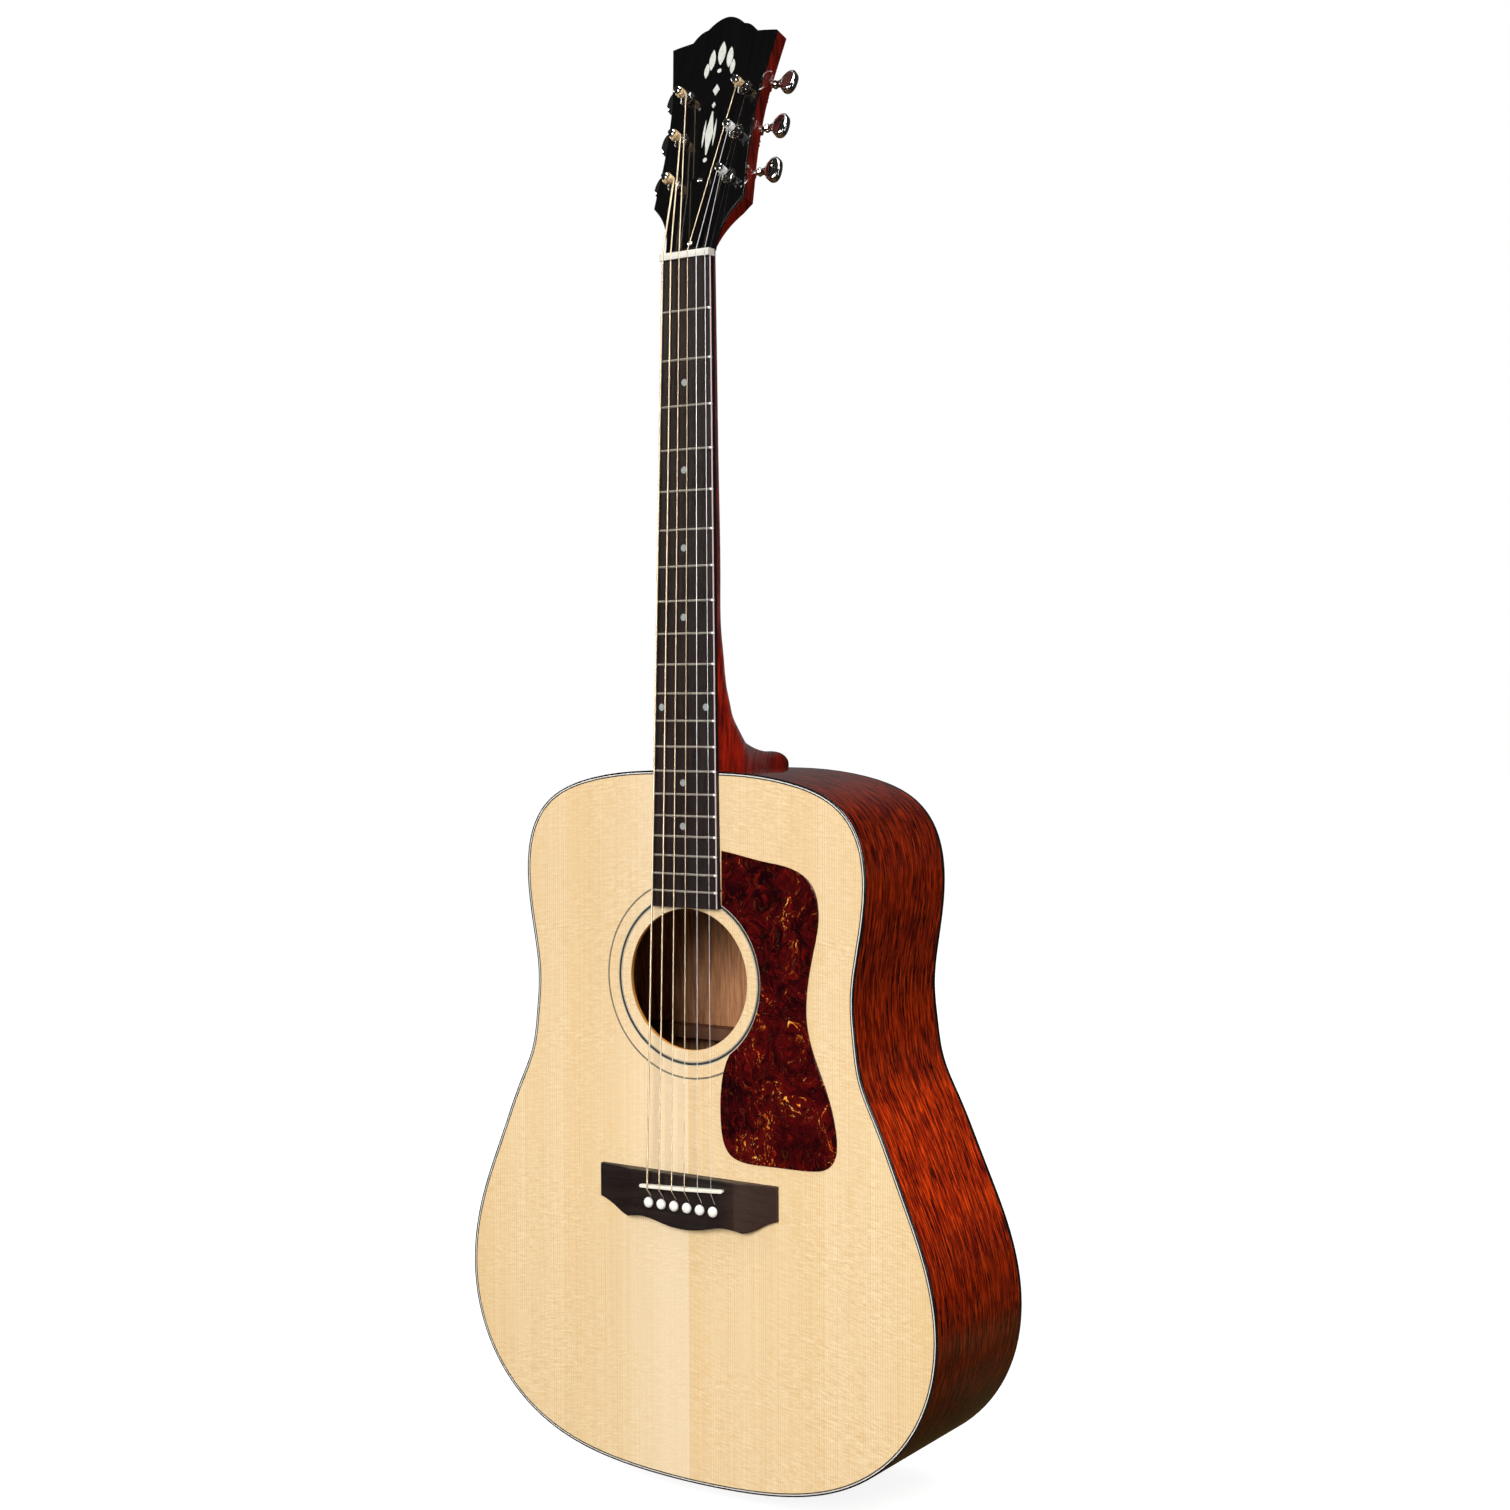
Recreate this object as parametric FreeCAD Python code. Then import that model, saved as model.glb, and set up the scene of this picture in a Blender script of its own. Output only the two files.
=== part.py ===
import FreeCAD, Part
import math
import os

# Steel-string acoustic guitar, dreadnought body, standing on its tail.
# Units: millimetres.  +Z runs up the neck, the soundboard faces -Y and
# +X is the treble side.  Inside this script the soundboard's outer face
# is the plane y = 0 and the tail of the body is z = 0; every shape is
# moved by SHIFT_Y on export, so that the frame's origin is on the strap
# button's axis where it meets the tail.

V = FreeCAD.Vector
os.makedirs("parts", exist_ok=True)

# ------------------------------------------------------------ dimensions
SCALE_LENGTH = 651.0          # nut to uncompensated saddle line
Z_BODY_TOP = 508.0            # body joint, at the fourteenth fret
Z_NUT = 869.0                 # playing edge of the nut
DEPTH_TAIL = 131.3            # body depth at the tail, plates included
DEPTH_NECK = 109.1            # body depth at the neck
OUTLINE_Z0 = 270.0            # pole of the outline's cosine series
# radius = sum of OUTLINE[k] * cos(k * angle), angle from the neck end
OUTLINE = [220.638, -27.372, 55.888, 17.435, -16.308, -3.883, -7.662, -4.145,
           0.144, 1.471, 1.342, 1.287, 0.547, -0.535, -0.617, -0.233]

BIND_T = 2.2                  # side and back binding thickness
BIND_H = 4.2                  # back binding height on the side
BIND_ROUND = 1.2              # rounding of the back binding's outer corner
TOP_BIND_T = 1.2              # top binding across the face
TOP_BIND_H = 1.4              # top binding height on the side
TOP_BIND_ROUND = 0.5
GLUE = 0.02                   # glue line between curved mating faces
TOP_T = 3.0                   # soundboard thickness
BACK_T = 2.8                  # back thickness
INLAY_D = 1.2                 # depth of the purfling and rosette channels
PURF_W = 1.5                  # purfling width
PURF_INSET = TOP_BIND_T + GLUE
INNER_INSET = BIND_T + GLUE   # plates and linings start here

BRIDGE_T = 8.6
SADDLE_LEN, SADDLE_T = 72.0, 2.6
SADDLE_Z_BASS, SADDLE_Z_TREBLE = 210.7, 214.8
SADDLE_TOP = 13.2             # saddle crest height above the soundboard
SADDLE_SEAT = 4.6
PIN_Z = 199.7
PIN_PITCH = 11.1
PIN_R_TOP, PIN_R_END, PIN_LEN = 2.65, 2.1, 22.0
PIN_CLEAR = 0.05

BOARD_R = 356.0               # fingerboard radius
BOARD_Y0 = -5.2               # board crown at the body joint
BOARD_RISE = 4.8              # fall of the board's plane from joint to nut
BOARD_END_Z = 411.5
BOARD_HALF_NUT, BOARD_HALF_END = 21.2, 28.6

NUT_T = 5.0
NUT_SEAT = 5.7                # y of the nut's underside
NUT_STRING_Y = -1.8           # bottom of the strings' slots at the nut
NUT_SPREAD, SADDLE_SPREAD = 36.0, 54.9
GAUGES = [0.305, 0.406, 0.610, 0.813, 1.067, 1.346]   # strings 1 to 6
STRINGS = range(1, 7)

# On the head, s runs from the nut to the tip and off stands out of its face.
HEAD_ANGLE = 15.5             # degrees
HEAD_Y0 = 4.4                 # head face at the nut's playing edge
HEAD_T = 13.0                 # veneer included
VENEER_T = 2.0
POST_S = [61.0, 95.0, 129.0]
POST_X = [23.4, 23.8, 25.0]   # the rows of posts close in towards the nut
POST_R, POST_WAIST_R = 3.0, 2.6
POST_STRING = 6.0             # off of the string at its post

SHIFT_Y = -DEPTH_TAIL / 2.0

SLOPE = BOARD_RISE / (Z_NUT - Z_BODY_TOP)
BOARD_TILT = math.degrees(math.atan(SLOPE))
BOARD_COS = math.cos(math.radians(BOARD_TILT))
BACK_SLOPE = (DEPTH_TAIL - DEPTH_NECK) / Z_BODY_TOP
HEAD_SIN = math.sin(math.radians(HEAD_ANGLE))
HEAD_COS = math.cos(math.radians(HEAD_ANGLE))
HEAD_ALONG = V(0, HEAD_SIN, HEAD_COS)
HEAD_NORMAL = V(0, -HEAD_COS, HEAD_SIN)


# ------------------------------------------------------------ general helpers
def save(node, shape):
    moved = shape.copy()
    moved.translate(V(0, SHIFT_Y, 0))
    moved.exportStep("parts/%s.step" % node)


def solid_group(shapes):
    """The only solid of the shapes, or a compound of all their solids."""
    solids = []
    for shape in shapes:
        solids += shape.Solids
    return solids[0] if len(solids) == 1 else Part.Compound(solids)


def poly_face(points):
    return Part.Face(Part.makePolygon(points + [points[0]]))


def spline(points):
    curve = Part.BSplineCurve()
    curve.interpolate(Points=points)
    return curve.toShape()


def arc(start, middle, end):
    return Part.Arc(start, middle, end).toShape()


def yz_prism(points, x0, x1):
    """Prism along X of a polygon given as (y, z)."""
    return poly_face([V(x0, y, z) for y, z in points]).extrude(V(x1 - x0, 0, 0))


def xz_prism(points, y0, y1):
    """Prism along Y of a polygon given as (x, z)."""
    return poly_face([V(x, y0, z) for x, z in points]).extrude(V(0, y1 - y0, 0))


def box(x0, x1, y0, y1, z0, z1):
    return Part.makeBox(x1 - x0, y1 - y0, z1 - z0, V(x0, y0, z0))


def y_cylinder(x, z, radius, y0, y1):
    return Part.makeCylinder(radius, y1 - y0, V(x, y0, z), V(0, 1, 0))


def z_cylinder(radius, z0, length, y=0):
    return Part.makeCylinder(radius, length, V(0, y, z0), V(0, 0, 1))


def revolve_z(profile, y=0):
    """Turn a profile of (radius, z) about the line along Z through (0, y)."""
    face = poly_face([V(r, y, z) for r, z in profile])
    return face.revolve(V(0, y, 0), V(0, 0, 1), 360)


def outward(solid):
    """Turn an inside-out solid the right way round."""
    if solid.Volume < 0:
        solid.reverse()
    return solid


def hexagon(radius, turn, z):
    angles = [math.radians(60 * k + turn) for k in range(6)]
    return poly_face([V(radius * math.cos(a), radius * math.sin(a), z) for a in angles])


def mirror_x(shape):
    return shape.mirror(V(0, 0, 0), V(1, 0, 0))


def fillet_some(shape, radius, pick):
    """Round the picked edges; the sharp shape is kept if that fails."""
    edges = [e for e in shape.Edges if pick(e)]
    # Guards against a selection of edges that cannot be rounded.
    try:
        rounded = shape.makeFillet(radius, edges)
        if rounded.isValid() and rounded.Solids:
            return rounded
    except Exception:
        pass
    return shape


# ------------------------------------------------------------ body helpers
def back_y(z):
    """y of the back's outer face."""
    return DEPTH_TAIL - BACK_SLOPE * z


def outline_pt(angle, inset):
    """Treble half of the body outline, angle in degrees from the neck end,
    moved inwards by inset; returns x and z."""
    a = math.radians(angle)
    r = sum(c * math.cos(k * a) for k, c in enumerate(OUTLINE))
    dr = -sum(c * k * math.sin(k * a) for k, c in enumerate(OUTLINE))
    dx = dr * math.sin(a) + r * math.cos(a)
    dz = dr * math.cos(a) - r * math.sin(a)
    norm = math.hypot(dx, dz)
    return (r * math.sin(a) + dz / norm * inset,
            OUTLINE_Z0 + r * math.cos(a) - dx / norm * inset)


def outline_edge(inset, side, y):
    """Half outline from the neck end to the tail; side is 1 for treble."""
    points = []
    for i in range(61):
        x, z = outline_pt(i * 3.0, inset)
        if i in (0, 60):
            x = 0.0
        points.append(V(x * side, y, z))
    curve = Part.BSplineCurve()
    curve.interpolate(Points=points, InitialTangent=V(side, 0, 0),
                      FinalTangent=V(-side, 0, 0))
    return curve.toShape()


def edge_prism(edges, y0, y1):
    wire = Part.Wire(Part.__sortEdges__(edges))
    return Part.Face(wire).extrude(V(0, y1 - y0, 0))


def full_prism(inset, y0, y1):
    return edge_prism([outline_edge(inset, 1, y0), outline_edge(inset, -1, y0)], y0, y1)


def half_prism(inset, side, y0, y1):
    edge = outline_edge(inset, side, y0)
    top, tail = edge.Vertexes[0].Point, edge.Vertexes[-1].Point
    return edge_prism([edge, Part.makeLine(tail, top)], y0, y1)


def half_band(inset0, inset1, side, y0, y1):
    outer, inner = outline_edge(inset0, side, y0), outline_edge(inset1, side, y0)
    outer_top, outer_tail = outer.Vertexes[0].Point, outer.Vertexes[-1].Point
    inner_top, inner_tail = inner.Vertexes[0].Point, inner.Vertexes[-1].Point
    return edge_prism([outer, Part.makeLine(outer_tail, inner_tail), inner,
                       Part.makeLine(inner_top, outer_top)], y0, y1)


def ring_prism(inset0, inset1, y0, y1):
    return full_prism(inset0, y0, y1).cut(full_prism(inset1, y0 - 1, y1 + 1))


def back_side(offset, y_far):
    """All on one side of the back's outer face moved by offset along Y."""
    return yz_prism([(back_y(-120) + offset, -120), (back_y(700) + offset, 700),
                     (y_far, 700), (y_far, -120)], -400, 400)


def beyond_back(offset):
    return back_side(offset, 400)


def before_back(offset):
    return back_side(offset, -200)


# ------------------------------------------------------------ head helpers
def head_pt(x, s, off):
    return V(x, HEAD_Y0 + s * HEAD_SIN - off * HEAD_COS,
             Z_NUT + s * HEAD_COS + off * HEAD_SIN)


def head_cyl(x, s, radius, off0, off1):
    return Part.makeCylinder(radius, off1 - off0, head_pt(x, s, off0), HEAD_NORMAL)


def head_placement(x, s, off):
    """Local X, Y, Z become the guitar's X, the head's length, the head's normal."""
    o = head_pt(x, s, off)
    return FreeCAD.Placement(FreeCAD.Matrix(1, 0, 0, o.x,
                                            0, HEAD_SIN, -HEAD_COS, o.y,
                                            0, HEAD_COS, HEAD_SIN, o.z,
                                            0, 0, 0, 1))


def in_head(shape, x, s, off):
    placed = shape.copy()
    placed.Placement = head_placement(x, s, off)
    return placed


def post_site(n):
    """Post position (x, s) of string n."""
    k = n - 1 if n <= 3 else 6 - n
    return POST_X[k] if n <= 3 else -POST_X[k], POST_S[k]


# ------------------------------------------------------------ board helpers
def board_y(z):
    """y of the board's crown."""
    return BOARD_Y0 + SLOPE * (z - Z_BODY_TOP)


def board_half(z):
    return BOARD_HALF_END + (BOARD_HALF_NUT - BOARD_HALF_END) * (
        z - BOARD_END_Z) / (Z_NUT - BOARD_END_Z)


def board_placement():
    """Local X, Y, Z become the guitar's X, depth below the board's crown and
    the way up the board, with the origin at the body joint."""
    return FreeCAD.Placement(V(0, BOARD_Y0, Z_BODY_TOP),
                             FreeCAD.Rotation(V(1, 0, 0), -BOARD_TILT))


def on_board(shape):
    placed = shape.copy()
    placed.Placement = board_placement()
    return placed


# ------------------------------------------------------------ string runs
def string_x(n, spread):
    return spread / 2.0 - (n - 1) * spread / 5.0


def pin_x(n):
    return PIN_PITCH * 2.5 - (n - 1) * PIN_PITCH


def saddle_z(x):
    return (SADDLE_Z_BASS + SADDLE_Z_TREBLE) / 2 + (
        SADDLE_Z_TREBLE - SADDLE_Z_BASS) * x / SADDLE_LEN


def pin_hole(n):
    """Tapered hole, carried 1 mm past both ends of the pin."""
    taper = (PIN_R_TOP - PIN_R_END) / PIN_LEN
    return Part.makeCone(PIN_R_TOP + PIN_CLEAR + taper, PIN_R_END + PIN_CLEAR - taper,
                         PIN_LEN + 2.0, V(pin_x(n), -BRIDGE_T - 1.0, PIN_Z), V(0, 1, 0))


def string_slot(n):
    """Slot beside the pin hole, ramped towards the saddle at its top."""
    x, gauge = pin_x(n), GAUGES[n - 1]
    z = PIN_Z + PIN_R_TOP + PIN_CLEAR + gauge + 0.3
    return yz_prism([(-BRIDGE_T - 1, PIN_Z), (-BRIDGE_T - 1, z + 4.6), (-BRIDGE_T, z + 3.9),
                     (-5.4, z), (9, z), (9, PIN_Z)],
                    x - gauge / 2 - 0.25, x + gauge / 2 + 0.25)


PIN_CUTS = [pin_hole(n) for n in STRINGS] + [string_slot(n) for n in STRINGS]

# ------------------------------------------------------------ soundboard
HOLE_Z, HOLE_R = 360.0, 50.4
ROSETTE_RINGS = ((58.5, 61.5), (69.8, 71.0))   # inner and outer radius
ROSETTE_GAP = 0.01


def annulus(r0, r1, y0, y1):
    return y_cylinder(0, HOLE_Z, r1, y0, y1).cut(
        y_cylinder(0, HOLE_Z, r0, y0 - 1, y1 + 1))


def top_half(side):
    """Half soundboard, stepped at its rim for the purfling."""
    half = half_prism(PURF_INSET + PURF_W + GLUE, side, 0, INLAY_D).fuse(
        half_prism(INNER_INSET, side, INLAY_D, TOP_T)).removeSplitter()
    half = half.cut(y_cylinder(0, HOLE_Z, HOLE_R, -5, 10))
    for r0, r1 in ROSETTE_RINGS:
        half = half.cut(annulus(r0, r1, -1, INLAY_D))
    return half.cut(Part.Compound([t for t in PIN_CUTS if t.BoundBox.Center.x * side > 0]))


def top_binding():
    tail_z = outline_pt(180, 0)[1]
    return fillet_some(ring_prism(0, TOP_BIND_T, 0, TOP_BIND_H), TOP_BIND_ROUND,
                       lambda e: e.BoundBox.YMax < 0.01
                       and abs(e.BoundBox.ZMin - tail_z) < 0.3)


save("top_bass_half", top_half(-1))
save("top_treble_half", top_half(1))
save("rosette", solid_group([annulus(r0 + ROSETTE_GAP, r1 - ROSETTE_GAP, 0, INLAY_D)
                             for r0, r1 in ROSETTE_RINGS]))
save("top_purfling", ring_prism(PURF_INSET, PURF_INSET + PURF_W, 0, INLAY_D))
save("top_binding", top_binding())

# ------------------------------------------------------------ sides
TENON_Y0, TENON_Y1 = BIND_H + 0.1, 88.0
TENON_Z0 = 492                # end of the tenon inside the body
TENON_HALF, TENON_HALF_END = 10, 12.6
GRAFT_HALF = 9.0
SIDE_Y_MAX = 140              # beyond the back everywhere


def tenon(gap):
    """Dovetail tenon of the neck, grown by gap."""
    return xz_prism([(-TENON_HALF - gap, Z_BODY_TOP + 2), (TENON_HALF + gap, Z_BODY_TOP + 2),
                     (TENON_HALF_END + gap, TENON_Z0 - gap),
                     (-TENON_HALF_END - gap, TENON_Z0 - gap)],
                    TENON_Y0 - gap, TENON_Y1 + gap)


def side_half(side):
    rib = half_band(0, BIND_T, side, TOP_BIND_H, SIDE_Y_MAX).cut(beyond_back(-BIND_H))
    graft_zone = box(-GRAFT_HALF - 0.01, GRAFT_HALF + 0.01, -5, 200, -5, 6)
    return rib.cut(graft_zone).cut(tenon(0.1))


STRAP_HOLE = Part.makeCone(5.22, 4.72, 27.0, V(0, DEPTH_TAIL / 2, -0.7), V(0, 0, 1))


def end_graft():
    """Strip of the side on the centre line of the tail."""
    graft = full_prism(0, TOP_BIND_H, SIDE_Y_MAX)
    graft = graft.cut(full_prism(BIND_T, 0, SIDE_Y_MAX + 1))
    graft = graft.common(box(-GRAFT_HALF, GRAFT_HALF, -5, 200, -5, 6))
    return graft.cut(beyond_back(-BIND_H)).cut(STRAP_HOLE)


save("side_bass", side_half(-1))
save("side_treble", side_half(1))
save("end_graft", end_graft())


# ------------------------------------------------------------ back
def back_half(side):
    half = half_prism(INNER_INSET, side, 90, SIDE_Y_MAX)
    return half.cut(beyond_back(0)).cut(before_back(-BACK_T))


def on_back_face(edge):
    """True for edges in the back's outer face that reach the tail."""
    span = edge.LastParameter - edge.FirstParameter
    points = [edge.valueAt(edge.FirstParameter + span * t) for t in (0.0, 0.3, 0.7, 1.0)]
    if max(abs(p.y - back_y(p.z)) for p in points) > 0.02:
        return False
    return edge.BoundBox.ZMin < 1.0


def back_binding():
    ring = ring_prism(0, BIND_T, 90, SIDE_Y_MAX)
    ring = ring.cut(beyond_back(0)).cut(before_back(-BIND_H))
    return fillet_some(ring, BIND_ROUND, on_back_face)


save("back_bass_half", back_half(-1))
save("back_treble_half", back_half(1))
save("back_binding", back_binding())

# ------------------------------------------------------------ blocks, linings
NECK_BLOCK_HALF, NECK_BLOCK_Z0 = 32, 456
TAIL_BLOCK_HALF, TAIL_BLOCK_Z1 = 42, 22
LINING_W = 5.6
LINING_H = 13.0


def neck_block():
    block = box(-NECK_BLOCK_HALF, NECK_BLOCK_HALF, TOP_T, SIDE_Y_MAX, NECK_BLOCK_Z0, 520)
    block = block.common(full_prism(INNER_INSET + GLUE, 0, SIDE_Y_MAX))
    return block.cut(beyond_back(-BACK_T)).cut(tenon(0.15))


def tail_block():
    block = box(-TAIL_BLOCK_HALF, TAIL_BLOCK_HALF, TOP_T, SIDE_Y_MAX, -5, TAIL_BLOCK_Z1)
    block = block.common(full_prism(INNER_INSET + GLUE, 0, SIDE_Y_MAX + 1))
    return block.cut(beyond_back(-BACK_T)).cut(STRAP_HOLE)


def linings():
    """Strips inside the sides along both plates, stopped at the blocks."""
    neck_half_zone, tail_half_zone = NECK_BLOCK_HALF + 0.2, TAIL_BLOCK_HALF + 0.2
    zones = Part.Compound([box(-neck_half_zone, neck_half_zone, -5, 200, 450, 520),
                           box(-tail_half_zone, tail_half_zone, -5, 200, -5, 30)])
    inner = INNER_INSET + LINING_W
    strips = []
    for side in (-1, 1):
        band = half_band(INNER_INSET, inner, side, TOP_T, TOP_T + LINING_H)
        strips.append(band.cut(zones))
        band = half_band(INNER_INSET, inner, side, 80, SIDE_Y_MAX)
        band = band.cut(beyond_back(-BACK_T)).cut(before_back(-BACK_T - LINING_H))
        strips.append(band.cut(zones))
    return solid_group(strips)


save("neck_block", neck_block())
save("tail_block", tail_block())
save("linings", linings())

# ------------------------------------------------------------ braces
LAP_Y = TOP_T + 7.5           # where the two X braces share their crossing
# x1, z1, x2, z2, width, height, taper length
TOP_BARS = [(-118, 436, 118, 436, 12, 16, 30),
            (86, 166, -84, 104, 6, 11, 35), (88, 122, -46, 62, 6, 9, 35),
            (77, 228, 138, 249, 6, 7, 20), (-77, 228, -138, 249, 6, 7, 20),
            (117, 190, 164, 204, 6, 7, 16), (-117, 190, -164, 204, 6, 7, 16)]
# z, half length, width
BACK_BARS = [(92, 176, 15), (188, 168, 15), (304, 120, 9), (415, 118, 9)]


def brace(x1, z1, x2, z2, width, height, taper, y0=TOP_T, tip=2.0, up=1):
    """A brace on the plane y = y0, tapered down to tip at its ends;
    it stands towards +Y when up is 1 and towards -Y when up is -1."""
    length = math.hypot(x2 - x1, z2 - z1)
    bar = poly_face([V(0, 0, 0), V(length, 0, 0), V(length, up * tip, 0),
                     V(length - taper, up * height, 0), V(taper, up * height, 0),
                     V(0, up * tip, 0)]).extrude(V(0, 0, width))
    bar.translate(V(0, 0, -width / 2))
    bar.rotate(V(0, 0, 0), V(0, 1, 0), -math.degrees(math.atan2(z2 - z1, x2 - x1)))
    bar.translate(V(x1, y0, z1))
    return bar


def top_braces():
    first, second = [brace(-side * 120, 384, side * 165, 122.8, 8, 15, 55)
                     for side in (1, -1)]
    lap_high = box(-20, 20, LAP_Y, TOP_T + 20, 255, 293)
    lap_low = box(-20, 20, TOP_T - 1, LAP_Y, 255, 293)
    crossed = [first.cut(second.common(lap_high)), second.cut(first.common(lap_low))]
    return solid_group(crossed + [brace(*row) for row in TOP_BARS])


def back_braces():
    bars = [brace(-half, z, half, z, width, 16, 40, back_y(z) + 1.2 - BACK_T, 3.6, -1)
            for z, half, width in BACK_BARS]
    return solid_group([bar.cut(beyond_back(-BACK_T)) for bar in bars])


def back_center_strip():
    """Strip 2 mm thick over the back's joint, cut through at each brace."""
    strip = box(-9, 9, 90, 140, 24, 454).cut(beyond_back(-BACK_T))
    strip = strip.cut(before_back(-BACK_T - 2.0))
    for z, half, width in BACK_BARS:
        strip = strip.cut(box(-20, 20, 80, 140, z - width / 2 - 0.05, z + width / 2 + 0.05))
    return solid_group([strip])


def bridge_plate():
    return box(-48, 48, TOP_T, TOP_T + 2.4, 180, 222).cut(Part.Compound(PIN_CUTS))


save("top_braces", top_braces())
save("back_braces", back_braces())
save("back_center_strip", back_center_strip())
save("bridge_plate", bridge_plate())

# ------------------------------------------------------------ pickguard
PICKGUARD_T = 1.0
PICKGUARD_ARC_R = 61.6        # edge around the rosette
PICKGUARD_TOP_X = 29.4
PICKGUARD_ARC_START = (36.5, 309.3)   # x, z that set the lower end of the arc
# x, z from the upper end round the outside to the arc
PICKGUARD = [(PICKGUARD_TOP_X, 452.6), (45.6, 449.8), (64.2, 446.3), (80.7, 443.9),
             (92.0, 440.4), (100.6, 435.0), (106.0, 427.8), (108.7, 418.0),
             (109.1, 407.0), (107.6, 397.0), (104.6, 384.0), (101.2, 367.8),
             (99.3, 352.3), (99.4, 338.5), (102.0, 325.0), (107.3, 310.0),
             (113.6, 295.5), (118.9, 280.7), (122.4, 265.8), (123.4, 253.8),
             (121.4, 244.4), (115.2, 238.0), (105.3, 235.4), (85.4, 234.6),
             (63.3, 234.3), (46.5, 235.0), (36.3, 238.8), (30.8, 246.6),
             (28.3, 258.9), (27.8, 273.1), (28.9, 288.6), (31.9, 301.3)]


def pickguard():
    angle0 = math.atan2(PICKGUARD_ARC_START[1] - HOLE_Z, PICKGUARD_ARC_START[0])
    angle1 = math.acos(PICKGUARD_TOP_X / PICKGUARD_ARC_R)
    start, middle, end = [V(PICKGUARD_ARC_R * math.cos(a), 0,
                            HOLE_Z + PICKGUARD_ARC_R * math.sin(a))
                          for a in (angle0, (angle0 + angle1) / 2, angle1)]
    points = [V(x, 0, z) for x, z in PICKGUARD] + [start]
    wire = Part.Wire([spline(points), arc(start, middle, end),
                      Part.makeLine(end, points[0])])
    guard = Part.Face(wire).extrude(V(0, -PICKGUARD_T, 0))
    return fillet_some(guard, 0.4, lambda e: e.BoundBox.YMax < -PICKGUARD_T + 0.01)


save("pickguard", pickguard())

# ------------------------------------------------------------ bridge
BRIDGE_WING_T = 3.4
BRIDGE_HALF = 76.0
BRIDGE_Z_TOP = 221.5
BRIDGE_Z_TIP = 197.2
# x, z of the lower edge, treble half, from the wing's tip to the centre
BRIDGE_WING = [(BRIDGE_HALF, BRIDGE_Z_TIP), (71, 195.6), (64, 192.4), (57, 188.6),
               (49, 186.3)]
BRIDGE_BELLY = [(49, 186.3), (40, 188.2), (29, 187.6), (15, 184.6), (0, 183.2)]
# x, y of the wing's scooped top face
BRIDGE_SCOOP = [(44, -BRIDGE_T), (47.5, -BRIDGE_T + 1.1), (52, -6.1), (58, -4.9),
                (66, -4.0), (BRIDGE_HALF + 1, -BRIDGE_WING_T)]


def wing_scoop(side):
    points = [V(side * x, y, 0) for x, y in BRIDGE_SCOOP]
    outer = V(side * (BRIDGE_HALF + 1), -BRIDGE_T - 3, 0)
    inner = V(side * BRIDGE_SCOOP[0][0], -BRIDGE_T - 3, 0)
    wire = Part.Wire([spline(points), Part.makeLine(points[-1], outer),
                      Part.makeLine(outer, inner), Part.makeLine(inner, points[0])])
    scoop = Part.Face(wire).extrude(V(0, 0, 80))
    scoop.translate(V(0, 0, 165))
    return scoop


def saddle_blank(gap, y0, y1):
    """Round-ended bar in the saddle's place, grown by gap."""
    length, width = SADDLE_LEN + 2 * gap, SADDLE_T + 2 * gap
    r = width / 2
    a = length / 2 - r
    edges = [Part.makeLine(V(-a, y0, -r), V(a, y0, -r)),
             arc(V(a, y0, -r), V(a + r, y0, 0), V(a, y0, r)),
             Part.makeLine(V(a, y0, r), V(-a, y0, r)),
             arc(V(-a, y0, r), V(-a - r, y0, 0), V(-a, y0, -r))]
    blank = Part.Face(Part.Wire(edges)).extrude(V(0, y1 - y0, 0))
    tilt = math.degrees(math.atan2(SADDLE_Z_TREBLE - SADDLE_Z_BASS, SADDLE_LEN))
    blank.rotate(V(0, 0, 0), V(0, 1, 0), -tilt)
    blank.translate(V(0, 0, saddle_z(0)))
    return blank


def bridge():
    wing = [V(x, 0, z) for x, z in BRIDGE_WING]
    wing_bass = [V(-p.x, 0, p.z) for p in reversed(wing)]
    belly = [V(x, 0, z) for x, z in BRIDGE_BELLY]
    belly += [V(-p.x, 0, p.z) for p in reversed(belly[:-1])]
    top_treble, top_bass = V(BRIDGE_HALF, 0, BRIDGE_Z_TOP), V(-BRIDGE_HALF, 0, BRIDGE_Z_TOP)
    wire = Part.Wire([Part.makeLine(top_treble, wing[0]), spline(wing), spline(belly),
                      spline(wing_bass), Part.makeLine(wing_bass[-1], top_bass),
                      Part.makeLine(top_bass, top_treble)])
    body = Part.Face(wire).extrude(V(0, -BRIDGE_T, 0))
    for side in (1, -1):
        body = body.cut(wing_scoop(side))

    def outer_edge(e):
        b = e.BoundBox
        return b.YMax < -3.0 and b.XLength > 3 and (
            b.ZMin > BRIDGE_Z_TOP - 0.1 or b.ZMax < BRIDGE_Z_TIP + 0.1)

    body = fillet_some(body, 0.8, outer_edge)
    return body.cut(Part.Compound(PIN_CUTS)).cut(saddle_blank(0.03, -20, -SADDLE_SEAT))


def saddle():
    bar = saddle_blank(0, -20, -SADDLE_SEAT).common(
        z_cylinder(BOARD_R, 180, 60, y=-SADDLE_TOP + BOARD_R))
    return fillet_some(bar, 0.7, lambda e: e.BoundBox.YMax < -SADDLE_TOP + 2.6
                       and e.BoundBox.YMin < -SADDLE_TOP + 2.0)


save("bridge", bridge())
save("saddle", saddle())

# ------------------------------------------------------------ bridge pins
PIN_HEAD_R = 3.8
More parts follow.
